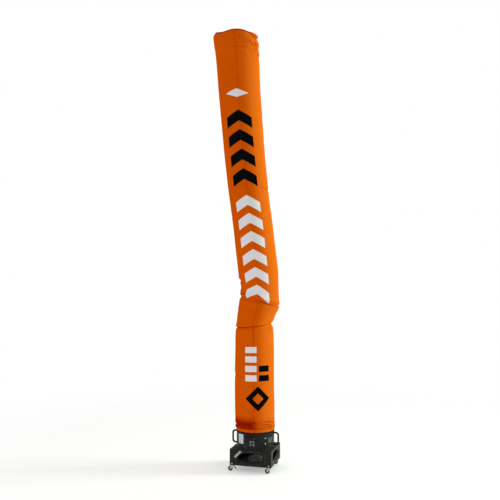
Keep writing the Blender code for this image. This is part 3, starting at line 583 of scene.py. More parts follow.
def worn_edges(finish, radius):
    """1 along edges that stand out, broken up as worn paint is."""
    bevel = finish.node("ShaderNodeBevel", {"samples": 4}, {"Radius": radius})
    sharp = finish.node("ShaderNodeNewGeometry", output="Normal")
    settings = {"operation": "DOT_PRODUCT"}
    likeness = finish.node("ShaderNodeVectorMath", settings, {0: bevel, 1: sharp}, "Value")
    edge = (1 - likeness).rise(0.02, 0.12)
    return edge * finish.noise(90.0, 3.0).rise(0.48, 0.60)


def banded(finish, value, low, high, soft=0.0008):
    """1 where a value lies between low and high."""
    return value.rise(low - soft, low + soft) * (1 - value.rise(high - soft, high + soft))


def printed_shapes(finish, across, up, colour):
    """1 inside the printed chevrons, diamonds and bars of one colour."""
    shapes = []
    for row in (r for r in CHEVRONS if r.colour == colour):
        off = abs(across - CHEVRON_MIDDLE)
        level = up + off * CHEVRON_SLOPE
        stripe = banded(finish, (level - row.bottom) % row.pitch, 0.0, row.tall)
        inside = banded(finish, level, row.bottom, row.top) * (1 - off.rise(0.1495, 0.1505))
        shapes.append(stripe * inside)
    for row in (r for r in DIAMONDS if r.colour == colour):
        reach = abs(across - row.across) / row.half_width + abs(up - row.height) / row.half_height
        shapes.append((1 - reach.rise(0.99, 1.01)) * reach.rise(row.hole - 0.01, row.hole + 0.01))
    for row in (r for r in BARS if r.colour == colour):
        stripe = banded(finish, (up - row.bottom) % row.pitch, 0.0, row.tall)
        inside = banded(finish, up, row.bottom, row.top) * banded(finish, across, row.left, row.right)
        shapes.append(stripe * inside)
    total = shapes[0]
    for shape in shapes[1:]:
        total = total.at_least(shape)
    return total


def painted_crease_shade(finish, across, up):
    """1 along the sharp creases: painted shade, stronger where a crease is deeper."""
    turn = across / BLOWN_RADIUS + SEAM_TURN
    total = 0.0
    for fold in CREASE_LINES:
        off = abs(up - fold.height - turn.sine() * fold.rise)
        middle, reach = (math.radians(angle) * BLOWN_RADIUS for angle in (fold.turn, fold.spread))
        along = abs(across - middle)
        if fold.turn > 90:
            along = along.at_most(abs(across - middle + 2 * math.pi * BLOWN_RADIUS))
        line = (1 - off.rise(0.1 * fold.tall, 1.7 * fold.tall)) * (1 - along.rise(0.45 * reach, reach))
        total = (line * min(1.0, fold.depth * CREASE_SHADE_PER_DEPTH)).at_least(total)
    return total


def seam_stitches(finish, across, up, stitch):
    """Two rows of stitches, one along each side of the long seam."""
    row = abs(abs(across) - SEAM_HALF_WIDTH * 0.62)
    return (1 - row.rise(0.0004, 0.0007)) * (1 - (up % stitch).rise(0.68 * stitch, 0.74 * stitch))


def nylon_finish(settings, printed):
    """Matt nylon: a fine weave with a ripstop grid, faded in clouds and dusty. Painted light makes the side
    towards the key lamp lighter and yellower. printed adds the print and seam, with painted shade along the
    seams, in the creases and above the strap.
    """
    name = "printed_nylon" if printed else "plain_nylon"
    finish = Finish(name, specular_ior_level=0.0)
    flat = finish.flat()
    round_sleeve = 2 * math.pi * BLOWN_RADIUS
    across, up = (flat.part("X") + round_sleeve / 2) % round_sleeve - round_sleeve / 2, flat.part("Y")
    cloud = finish.noise(2.2, 3.0)
    faded = [c * 0.92 for c in settings.orange]
    colour = finish.mix(cloud.rise(0.35, 0.70), faded, settings.orange)
    # Painted light: the side towards the key lamp is mixed towards a lighter, yellower orange, and the top
    # panel takes a fixed share of it.
    lit_side = across.rise(0.0, 0.17) * (1 - across.rise(0.50, 0.72)) if printed else 0.35
    colour = finish.mix(lit_side * (0.8 + cloud * 0.2), colour, settings.lit_side)
    grime = finish.noise(9.0, 4.0, rough=0.62).rise(0.58, 0.80) * 0.10
    colour = finish.mix(grime, colour, settings.grime)
    pitch = settings.ripstop_pitch
    lines = ((across % pitch).at_most(up % pitch)).rise(0.0, 0.10 * pitch)
    colour = finish.mix((1 - lines) * 0.10, colour, settings.grime)
    ink = None
    if printed:
        # Painted shade: the cloth just above the strap is darkened all round, most on the viewer's left.
        hem_shade = (1 - across.rise(-0.05, 0.07)) * across.rise(-0.62, -0.30) * 0.86 + 0.12
        level = up + (cloud - 0.5) * 0.04
        hem_shade = hem_shade * level.rise(*HEM_SHADE_BOTTOM) * (1 - level.rise(*HEM_SHADE_TOP))
        colour = finish.mix(hem_shade, colour, settings.hem_shade)
        # Painted shade: darker along the long seam, strongest low down, in a band under the top seam and
        # along the sharp creases.
        double = (1 - abs(across + 0.004).rise(0.003, 0.009)) * (0.40 - up.rise(1.6, 2.1) * 0.24)
        double = double.at_least(up.rise(TOP_HEIGHT - 0.026, TOP_HEIGHT - 0.012) * 0.55)
        double = double.at_least(painted_crease_shade(finish, across, up) * (0.55 + cloud.rise(0.3, 0.7) * 0.30))
        colour = finish.mix(double, colour, settings.double)
        shift = (finish.noise(7.0, 2.0) - 0.5) * 0.004
        for shade in ("white", "black"):
            mask = printed_shapes(finish, across + shift, up + shift, shade)
            ink_colour = getattr(settings, f"print_{shade}")
            worn = [0.86 * c + 0.004 for c in ink_colour]
            worn_ink = finish.mix(grime * 2 + (1 - lines) * 0.06, ink_colour, worn)
            colour = finish.mix(mask, colour, worn_ink)
            ink = mask if ink is None else ink.at_least(mask)
        seam = seam_stitches(finish, across, up, settings.stitch_length)
        colour = finish.mix(seam * (1 - ink) * 0.75, colour, [c * 0.45 for c in settings.orange])
    weave = (across * WEAVE_RATE).sine() * (up * WEAVE_RATE).sine()
    crumple = finish.noise(34.0, 4.0, rough=0.55)
    height = weave * 0.05 + (1 - lines) * 0.35 + crumple * 1.6
    rough = 0.50 + finish.noise(14.0, 3.0) * 0.12
    if printed:
        height = height + seam * 0.8
        rough = rough - ink * 0.06
    finish.bump(height, 0.0009, 0.55)
    return finish.shade(Base_Color=colour, Roughness=rough)


def webbing_finish(settings):
    """Black woven webbing, with a twill of fine ribs."""
    finish = Finish("woven_webbing", specular_ior_level=0.2)
    flat = finish.flat()
    across, up = flat.part("X"), flat.part("Y")
    twill = ((across + abs(up % 0.007 - 0.0035)) * 2600.0).sine()
    rib = (up * 3900.0).sine()
    shade = twill.rise(-0.6, 0.9) * 0.6 + finish.noise(60.0, 3.0) * 0.4
    colour = finish.mix(shade, [c * 0.55 for c in settings.webbing], settings.webbing)
    finish.bump(twill * 0.6 + rib * 0.3, 0.0004, 0.8)
    return finish.shade(Base_Color=colour, Roughness=0.78 + shade * 0.12)


def steel_finish(settings):
    """Black powder-coated steel: orange peel, settled dust, scuffs, and bare metal at worn edges."""
    finish = Finish("powder_coated_steel", specular_ior_level=0.22)
    cloud = finish.noise(6.0, 4.0)
    colour = finish.mix(cloud.rise(0.3, 0.7), [c * 0.72 for c in settings.steel], settings.steel)
    dust = facing_up(finish) * (0.35 + finish.noise(22.0, 5.0, rough=0.65) * 0.65) * settings.dust_share
    dust = dust.at_least(finish.noise(11.0, 5.0, rough=0.7).rise(0.60, 0.82) * 0.22)
    colour = finish.mix(dust, colour, settings.dust)
    streaks = finish.noise(30.0, 4.0, finish.stretch(finish.place(), (1.0, 1.0, 9.0)), 0.7)
    scuff = streaks.rise(0.66, 0.72) * 0.30
    colour = finish.mix(scuff, colour, settings.scuff)
    worn = worn_edges(finish, 0.0014)
    colour = finish.mix(worn * 0.55, colour, settings.scuff)
    peel = finish.noise(520.0, 2.0) * 0.5 + finish.noise(180.0, 2.0) * 0.5
    finish.bump(peel, 0.00012, 0.6)
    rough = 0.44 + dust * 0.4 + cloud * 0.10 + scuff * 0.2
    return finish.shade(Base_Color=colour, Roughness=rough)


def zinc_finish(settings):
    """Zinc plate, clouded and a little yellow, with dull patches where it has been handled."""
    finish = Finish("zinc_plate", metallic=1.0)
    cloud = finish.noise(110.0, 4.0)
    colour = finish.mix(cloud.rise(0.35, 0.7), settings.zinc, [c * 0.74 for c in settings.zinc])
    tint = finish.noise(36.0, 2.0).rise(0.55, 0.75) * 0.35
    colour = finish.mix(tint, colour, settings.zinc_tint)
    dull = finish.noise(260.0, 3.0).rise(0.55, 0.72)
    finish.bump(finish.noise(900.0, 2.0), 0.00005, 0.5)
    return finish.shade(Base_Color=colour, Roughness=0.26 + dull * 0.24)


def plate_finish(name, colour):
    """Brushed aluminium plate, bare, with fine level scratches."""
    finish = Finish(name, metallic=0.55)
    fine = finish.noise(60.0, 5.0, finish.stretch(finish.place(), (1.0, 1.0, 60.0)), 0.6)
    spots = finish.noise(75.0, 4.0).rise(0.60, 0.78) * 0.25
    tone = finish.mix(fine, [c * 0.82 for c in colour], colour)
    tone = finish.mix(spots, tone, [c * 0.45 for c in colour])
    finish.bump(fine, 0.00006, 0.7)
    return finish.shade(Base_Color=tone, Roughness=0.36 + fine * 0.16)


def moulded_finish(name, colour, roughness, grain):
    """Moulded rubber or plastic with a fine grain, greyer where it has rubbed."""
    finish = Finish(name)
    rubbed = finish.noise(85.0, 4.0, rough=0.65).rise(0.56, 0.76)
    dusty = facing_up(finish) * 0.25
    paler = [min(1.0, c * 2.4 + 0.02) for c in colour]
    tone = finish.mix((rubbed * 0.35).at_least(dusty), colour, paler)
    finish.bump(finish.noise(grain, 2.0), 0.0001, 0.6)
    return finish.shade(Base_Color=tone, Roughness=roughness + rubbed * 0.12)


def casting_finish(settings):
    """Sand-cast aluminium, grey and pitted, with dust in it."""
    finish = Finish("grey_casting", metallic=0.35)
    pits = finish.noise(420.0, 3.0)
    cloud = finish.noise(26.0, 4.0)
    colour = finish.mix(cloud.rise(0.3, 0.7), [c * 0.7 for c in settings.casting], settings.casting)
    colour = finish.mix(facing_up(finish) * 0.45, colour, settings.dust)
    finish.bump(pits, 0.00035, 0.7)
    return finish.shade(Base_Color=colour, Roughness=0.48 + pits * 0.2)


def edge_finish(settings):
    """The cut and rolled edge of nylon, with threads across it, darkened with painted shade for the shadow
    along the top seam.
    """
    finish = Finish("shaded_welt_nylon", specular_ior_level=0.0)
    strands = finish.noise(420.0, 3.0, rough=0.6)
    dark = [c * 0.45 for c in settings.orange]
    finish.bump(strands, 0.0004, 0.7)
    return finish.shade(Base_Color=finish.mix(strands, dark, settings.double), Roughness=0.55 + strands * 0.2)


def thread_finish(settings):
    """Twisted thread."""
    finish = Finish("sewing_thread", specular_ior_level=0.3)
    twist = finish.noise(1500.0, 2.0, finish.stretch(finish.place(), (1.0, 1.0, 0.4)))
    dark = [c * 0.5 for c in settings.thread]
    finish.bump(twist, 0.0002, 0.7)
    return finish.shade(Base_Color=finish.mix(twist, dark, settings.thread), Roughness=0.65 + twist * 0.2)


def paper_finish(settings):
    """Pale background paper, faintly mottled, that fades out towards its edges."""
    finish = Finish("background_paper", specular_ior_level=0.1, emission_strength=PAPER_GLOW)
    finish.shader.inputs["Emission Color"].default_value = (1.0, 1.0, 1.0, 1.0)
    mottle = finish.noise(2.5, 4.0)
    pale = [min(1.0, c * 1.03) for c in settings.floor]
    finish.bump(finish.noise(60.0, 3.0), 0.0002, 0.3)
    away = finish.node("ShaderNodeVectorMath", {"operation": "LENGTH"}, {0: finish.place()}, "Value")
    finish.shade(Alpha=1 - away.rise(FLOOR_FADE, FLOOR_REACH * 0.95))
    return finish.shade(Base_Color=finish.mix(mottle, settings.floor, pale), Roughness=0.85 + mottle * 0.1)


FINISHES = {}


def finish_for(name):
    """The finish of that name, made the first time that a piece asks for it."""
    if name not in FINISHES:
        cloth, blower = bpy.context.scene.dancer_cloth, bpy.context.scene.dancer_blower
        make = {
            "print": lambda: nylon_finish(cloth, True),
            "nylon": lambda: nylon_finish(cloth, False),
            "shaded_welt_nylon": lambda: edge_finish(cloth),
            "thread": lambda: thread_finish(cloth),
            "webbing": lambda: webbing_finish(cloth),
            "steel": lambda: steel_finish(blower),
            "zinc": lambda: zinc_finish(blower),
            "plate": lambda: plate_finish("brushed_plate", blower.plate),
            "lip_highlight_plate": lambda: plate_finish("lip_highlight_plate", [c * 0.54 for c in blower.plate]),
            "grey_plate": lambda: plate_finish("grey_plate", [c * 0.36 for c in blower.plate]),
            "dull_plate": lambda: plate_finish("dull_plate", [c * 0.16 for c in blower.plate]),
            "tyre": lambda: moulded_finish("tyre_rubber", blower.tyre, 0.72, 700.0),
            "hub": lambda: moulded_finish("wheel_plastic", blower.hub, 0.50, 1100.0),
            "plastic": lambda: moulded_finish("black_plastic", blower.plastic, 0.48, 1300.0),
            "mark": lambda: moulded_finish("pad_printed_mark", blower.mark, 0.55, 1500.0),
            "dark_mark": lambda: moulded_finish("etched_mark", blower.plastic, 0.6, 1500.0),
            "casting": lambda: casting_finish(blower),
        }
        FINISHES[name] = make[name]()
    return FINISHES[name]


class Shape:
    """Points and faces gathered from several forms into one mesh."""

    def __init__(self):
        self.points = []
        self.faces = []

    def add(self, form, place=Matrix()):
        points, faces = form
        start = len(self.points)
        self.points += [place @ Vector(point) for point in points]
        self.faces += [[start + corner for corner in face] for face in faces]
        return self

    def mesh(self, name, sharp):
        mesh = bpy.data.meshes.new(name)
        mesh.from_pydata(self.points, [], self.faces)
        mesh.shade_smooth()
        mesh.set_sharp_from_angle(angle=math.radians(sharp))
        return mesh

    def piece(self, name, finish, slot, body=BLOWER, replaced=(), sharp=38):
        """Puts the shape in the scene as a piece."""
        return add_piece(name, self.mesh(name, sharp), finish, body, replaced)


def quads(count, sides, loop=False):
    """Faces that join a number of rings. The end rings are capped, or joined if it is a loop."""
    faces = []
    for row in range(count if loop else count - 1):
        above = (row + 1) % count * sides
        for side in range(sides):
            after = (side + 1) % sides
            faces.append((row * sides + side, row * sides + after, above + after, above + side))
    if not loop:
        faces.append(tuple(reversed(range(sides))))
        faces.append(tuple(range((count - 1) * sides, count * sides)))
    return faces


def circle(sides):
    """The turns of so many places spaced evenly round a circle."""
    return [2 * math.pi * side / sides for side in range(sides)]


def turned(profile, sides, loop=False):
    """A profile of (radius, height) pairs turned about Z. Its ends are capped unless it is a loop."""
    points = [(r * math.cos(t), r * math.sin(t), z) for r, z in profile for t in circle(sides)]
    return points, quads(len(profile), sides, loop)


def mirrored(profile):
    """A profile that ends at height 0, and the same again below or above it."""
    return profile + [(radius, -height) for radius, height in profile[-2::-1]]


def swept(path, radii, sides, closed=False):
    """A round tube along a path, with a radius for each of its points."""
    path = [Vector(point) for point in path]
    count = len(path)
    points, side_axis = [], None
    for index, point in enumerate(path):
        before = path[index - 1] if closed or index else point
        after = path[(index + 1) % count] if closed or index < count - 1 else point
        along = (after - before).normalized()
        hint = side_axis or (Vector((0, 0, 1)) if abs(along.z) < 0.9 else Vector((1, 0, 0)))
        side_axis = (hint - along * hint.dot(along)).normalized()
        other_axis = along.cross(side_axis)
        for turn in circle(sides):
            points.append(point + radii[index] * (math.cos(turn) * side_axis + math.sin(turn) * other_axis))
    return points, quads(count, sides, closed)


def block(size, rounding):
    """A box of a size, centred, with rounded edges."""
    work = bmesh.new()
    bmesh.ops.create_cube(work, size=1.0, matrix=Matrix.Diagonal((*size, 1.0)))
    bmesh.ops.bevel(work, geom=work.edges[:], offset=rounding, segments=2, profile=0.5, affect="EDGES")
    work.verts.index_update()
    form = [v.co.copy() for v in work.verts], [[v.index for v in face.verts] for face in work.faces]
    work.free()
    return form


def looped(rings):
    """Rings of points joined by faces that face the other way from turned's, the last to the first."""
    points = [point for ring in rings for point in ring]
    return points, [(a, d, c, b) for a, b, c, d in quads(len(rings), len(rings[0]), loop=True)]


def oval(turns, half_width, half_height):
    """Points on an oval a little squarer than an ellipse."""
    power = 2 / INLET_SQUARENESS
    points = []
    for turn in turns:
        across, up = math.cos(turn), math.sin(turn)
        x = math.copysign(abs(across) ** power, across) * half_width
        points.append((x, math.copysign(abs(up) ** power, up) * half_height))
    return points


def rivet(radius, height):
    """A domed rivet head standing on the floor of its own frame."""
    curve = ((1.0, 0.0), (0.98, 0.25), (0.86, 0.62), (0.60, 0.88), (0.28, 0.99), (0.04, 1.0))
    return turned([(radius * r, height * z) for r, z in curve], 16)


def hex_bolt(radius, height):
    """A chamfered hexagon head on a washer."""
    washer = ((1.3, 0.0), (1.3, 0.2), (1.2, 0.26))
    head = ((0.96, 0.2), (1.0, 0.3), (1.0, 0.86), (0.88, 1.0), (0.3, 0.97))
    form = Shape()
    for profile, sides in ((washer, 24), (head, 6)):
        form.add(turned([(radius * r, height * z) for r, z in profile], sides))
    return form.points, form.faces


def socket_screw(radius, height):
    """A button head with a hexagon socket."""
    sides = 24
    outer = ((1.0, 0.0), (1.0, 0.35), (0.86, 0.8), (0.62, 1.0))
    socket = (1.0, 0.45)
    points, _ = turned([(radius * r, height * z) for r, z in outer], sides)
    for level in socket:
        for turn in circle(sides):
            flat = math.cos(math.pi / 6) / math.cos(turn % (math.pi / 3) - math.pi / 6)
            reach = 0.5 * radius * flat
            points.append((reach * math.cos(turn), reach * math.sin(turn), height * level))
    return points, quads(len(outer) + len(socket), sides)


def facing(place, direction):
    """A frame at a place whose Z axis points in a direction."""
    return Matrix.Translation(place) @ Vector(direction).to_track_quat("Z", "Y").to_matrix().to_4x4()


def about_duct(turn):
    """A frame on the duct's axis, turned about it."""
    return Matrix.Translation(DUCT_AXIS) @ Matrix.Rotation(turn, 4, "Z")


def round_duct(count, radius, level, first=0.0):
    """Places spaced evenly on a circle round the duct's axis."""
    for number in range(count):
        turn = 2 * math.pi * (number + first) / count
        yield DUCT_AXIS + Vector((radius * math.sin(turn), -radius * math.cos(turn), level))


def smooth_noise(turn, height, cells, pitch, seed):
    """Smooth noise from -1 to 1 on the sleeve: so many cells round it, and one each pitch up it."""
    rows = int(NOISE_TOP / pitch) + 3
    knots = np.random.default_rng(seed).uniform(-1, 1, (rows, cells))
    x, y = np.broadcast_arrays((turn / (2 * math.pi) % 1.0) * cells, height / pitch)
    left, low = np.floor(x).astype(int), np.floor(y).astype(int)
    share_x, share_y = x - left, y - low
    share_x = share_x**2 * (3 - 2 * share_x)
    share_y = share_y**2 * (3 - 2 * share_y)
    lower = knots[low, left % cells] * (1 - share_x) + knots[low, (left + 1) % cells] * share_x
    upper = knots[low + 1, left % cells] * (1 - share_x) + knots[low + 1, (left + 1) % cells] * share_x
    return lower * (1 - share_y) + upper * share_y


def smooth_step(value, low, high):
    share = np.clip((value - low) / (high - low), 0.0, 1.0)
    return share**2 * (3 - 2 * share)


def bell(distance, width):
    return np.exp(-((distance / width) ** 2))


def turn_between(turn, centre):
    """The signed angle from one direction round the sleeve to another."""
    return (turn - centre + math.pi) % (2 * math.pi) - math.pi


def window(turn, centre, spread):
    """1 at the centre direction, falling smoothly to 0 at spread from it."""
    share = np.minimum(np.abs(turn_between(turn, centre)) / spread, 1.0)
    return np.cos(share * math.pi / 2) ** 2


def eased(height, column):
    """A column of the stations at each height, averaged over a short stretch."""
    known = [station.height for station in STATIONS]
    values = [getattr(station, column) for station in STATIONS]
    reach = np.interp(height, EASE_AT, EASE)
    levels = [np.clip(height + step * reach, known[0], known[-1]) for step in np.linspace(-1, 1, 9)]
    return sum(np.interp(level, known, values) for level in levels) / len(levels)


def sag_drop(sag, turn):
    return sag.drop * bell(turn_between(turn, math.radians(sag.turn)), math.radians(sag.spread))


def row_height(height, turn):
    """The true height of each point on a row, because the rows follow the folds and the top seam."""
    level = height + 0 * turn
    for crease, rise in CREASES:
        level = level + rise * np.sin(turn) * bell(height - crease, SLANT_TALL)
    top_share = np.clip(1 - (TOP_HEIGHT - height) / TOP_SLANT_TALL, 0.0, 1.0)
    slant = TOP_TILT_DROP * (1 + np.cos(turn)) / 2 + sum(sag_drop(sag, turn) for sag in SAGS)
    return level - slant * top_share**2


def fold_shift(level, turn, folds=FOLDS):
    """How far the folds push the cloth out or in."""
    shift = 0.0
    for fold in folds:
        away = level - fold.height - fold.rise * np.sin(turn)
        reach = window(turn, math.radians(fold.turn), math.radians(fold.spread))
        shift = shift - fold.depth * reach * bell(away, fold.tall)
        shift = shift + fold.lip * reach * bell(away - 2 * fold.tall, 1.4 * fold.tall)
    return shift


def sleeve_shape(height, turn):
    """Points on the sleeve before its wrinkles, for a column of heights and a row of turns."""
    above = smooth_step(height, STRAP_TOP, STRAP_TOP + 0.004)
    level = height + (row_height(height, turn) - height) * above
    shift = fold_shift(level, turn) * above
    x = eased(height, "side") + (eased(height, "half_width") + shift) * np.sin(turn)
    y = -eased(height, "forward") - (eased(height, "half_depth") + shift) * np.cos(turn)
    return np.stack(np.broadcast_arrays(x, y, level), axis=-1)


def outward(points, closed=False):
    """The direction that a sheet of rows and columns of points faces at each of them."""
    around = np.gradient(points, axis=1)
    if closed:
        around = np.roll(points, -1, axis=1) - np.roll(points, 1, axis=1)
    direction = np.cross(around, np.gradient(points, axis=0))
    return direction / np.maximum(np.linalg.norm(direction, axis=2, keepdims=True), 1e-12)


def scattered_wrinkles(height, turn):
    """How far the wrinkles of all the patches push the cloth in."""
    total = np.zeros(np.broadcast_shapes(height.shape, turn.shape))
    levels = height[:, 0]
    for number, patch in enumerate(PATCHES):
        chance = np.random.default_rng(PATCH_SEED + number)
        for _ in range(patch.count):
            aside, above = chance.uniform(-1, 1), chance.uniform(-1, 1)
            middle = math.radians(patch.turn + patch.reach_turn * aside)
            offset = math.radians(patch.reach_turn * aside) * BLOWN_RADIUS
            lean = math.radians(patch.lean + patch.aim * offset + chance.normal(0, LEAN_SCATTER))
            length = patch.length * chance.uniform(0.55, 1.35)
            width = patch.width * chance.uniform(0.8, 1.3)
            depth = patch.depth * chance.uniform(0.45, 1.2)
            bow = chance.uniform(-0.25, 0.25) / length
            level = patch.height + patch.reach_height * above
            rows = slice(*np.searchsorted(levels, (level - length - 0.03, level + length + 0.03)))
            across = turn_between(turn, middle) * BLOWN_RADIUS
            up = height[rows] - level
            along = across * math.cos(lean) + up * math.sin(lean)
            off = up * math.cos(lean) - across * math.sin(lean) + bow * along**2
            valley = bell(off, width) - 0.42 * bell(np.abs(off) - 2.0 * width, 1.1 * width)
            total[rows] += depth * valley * bell(along, 0.42 * length)
    return total


def long_seam(height, from_seam):
    """How far the long seam's lap and the puckers beside it push the cloth out."""
    lap = SEAM_HALF_WIDTH / BLOWN_RADIUS
    raised = SEAM_RAISE * smooth_step(from_seam, 2 * math.pi - 2.2 * lap, 2 * math.pi - 1.1 * lap)
    raised = raised * np.where(from_seam >= from_seam.max(), 0.2, 1.0)
    across = turn_between(from_seam, 0.0) * BLOWN_RADIUS
    phase = height / PUCKER_PITCH + smooth_noise(from_seam, height, 24, 0.09, 7) * 1.1
    wave = 1 - 2 * np.abs(np.sin(math.pi * phase)) ** 0.8
    strength = 0.45 + 0.55 * smooth_noise(from_seam, height, 8, 0.33, 8)
    reach = bell(across, PUCKER_REACH) * (1 - 0.55 * bell(across, SEAM_HALF_WIDTH))
    groove = SEAM_GROOVE * bell(across + 1.6 * SEAM_HALF_WIDTH, 0.5 * SEAM_HALF_WIDTH)
    return raised - groove - PUCKER_DEPTH * wave * strength * reach


def soft_swell(height, turn):
    """How far the slow swells push the cloth out."""
    return sum(depth * smooth_noise(turn, height, *kind) for depth, *kind in SWELLS)


def column_turns():
    """Each column's turn from the long seam, closest beside it. The sheet's two long edges lap."""
    lap = SEAM_HALF_WIDTH / BLOWN_RADIUS
    fine = np.linspace(-lap, 2 * math.pi + lap, 4001)
    density = 1 + 2.2 * bell(turn_between(fine, 0.0), 0.12)
    total = np.concatenate(([0.0], np.cumsum((density[1:] + density[:-1]) / 2)))
    return np.interp(np.linspace(0, total[-1], COLUMNS + 1), total, fine)


def row_heights():
    heights = [STATIONS[0].height]
    for rows in ROWS:
        count = math.ceil((rows.top - heights[-1]) / rows.step)
        heights += list(np.linspace(heights[-1], rows.top, count + 1)[1:])
    return np.array(heights)


def sheet_mesh(name, points, flat, closed=False, caps=0):
    """A mesh of quads through rows of points. flat is each point's place on the flat cloth. A closed
    sheet meets itself, so its flat places have one column more. caps fills its first or last row."""
    rows, columns, _ = points.shape
    start = np.arange(rows - 1)[:, None] * columns
    here = np.arange(columns if closed else columns - 1)[None]
    after = (here + 1) % columns
    corners = (start + here, start + after, start + columns + after, start + columns + here)
    faces = np.stack(corners, axis=-1).reshape(-1, 4).tolist()
    around = (flat[:-1, :-1], flat[:-1, 1:], flat[1:, 1:], flat[1:, :-1])
    places = np.stack(around, axis=2).reshape(-1, 2).tolist()
    if caps > 1:
        faces.append(list(reversed(range(columns))))
        places += flat[0, :columns][::-1].tolist()
    if caps:
        faces.append(list(range((rows - 1) * columns, rows * columns)))
        places += flat[-1, :columns].tolist()
    mesh = bpy.data.meshes.new(name)
    mesh.from_pydata(points.reshape(-1, 3).tolist(), [], faces)
    layer = mesh.uv_layers.new(name="flat")
    layer.uv.foreach_set("vector", np.array(places, dtype=np.float32).ravel())
    mesh.shade_smooth()
    return mesh


def add_piece(name, mesh, finish, body=BLOWER, replaced=()):
    """Puts a mesh in the scene as a piece that rides on a body and stands for some nodes."""
    piece = bpy.data.objects.new(name, mesh)
    bpy.context.scene.collection.objects.link(piece)
    mesh.materials.append(finish_for(finish))
    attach(piece, body)
    if replaced:
        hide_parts(*replaced)
    return piece


def rounding_nodes():
    """A node group that joins a solid's split corners and shades its curved faces smooth."""
    group = bpy.data.node_groups.new("smooth_curved_faces", "GeometryNodeTree")
    group.interface.new_socket("Geometry", in_out="INPUT", socket_type="NodeSocketGeometry")
    group.interface.new_socket("Geometry", in_out="OUTPUT", socket_type="NodeSocketGeometry")
    start, end = group.nodes.new("NodeGroupInput"), group.nodes.new("NodeGroupOutput")
    merge = group.nodes.new("GeometryNodeMergeByDistance")
    merge.inputs["Distance"].default_value = JOIN_WITHIN
    smooth = group.nodes.new("GeometryNodeSetShadeSmooth")
    crisp = group.nodes.new("GeometryNodeSetShadeSmooth")
    crisp.domain = "EDGE"
    crisp.inputs["Shade Smooth"].default_value = False
    angle = group.nodes.new("GeometryNodeInputMeshEdgeAngle")
    steep = group.nodes.new("FunctionNodeCompare")
    steep.inputs[1].default_value = SMOOTH_BELOW
    link = group.links.new
    link(start.outputs[0], merge.inputs["Geometry"])
    link(merge.outputs[0], smooth.inputs["Geometry"])
    link(smooth.outputs[0], crisp.inputs["Geometry"])
    link(angle.outputs["Unsigned Angle"], steep.inputs[0])
    link(steep.outputs[0], crisp.inputs["Selection"])
    link(crisp.outputs[0], end.inputs[0])
    return group


def dress_node(name, finish, edge):
    """Gives a solid its finish, smooth curves and rounded edges of a size."""
    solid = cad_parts[name]
    if not solid.material_slots:
        raise RuntimeError(f"{name} has no material slot")
    for slot in solid.material_slots:
        slot.link = "OBJECT"
        slot.material = finish_for(finish)
    group = bpy.data.node_groups.get("smooth_curved_faces") or rounding_nodes()
    solid.modifiers.new("smooth", "NODES").node_group = group
    if edge:
        rounding = solid.modifiers.new("round", "BEVEL")
        rounding.width = edge
        rounding.segments = 2
        rounding.limit_method = "ANGLE"
        rounding.angle_limit = ROUND_ABOVE
        rounding.harden_normals = True


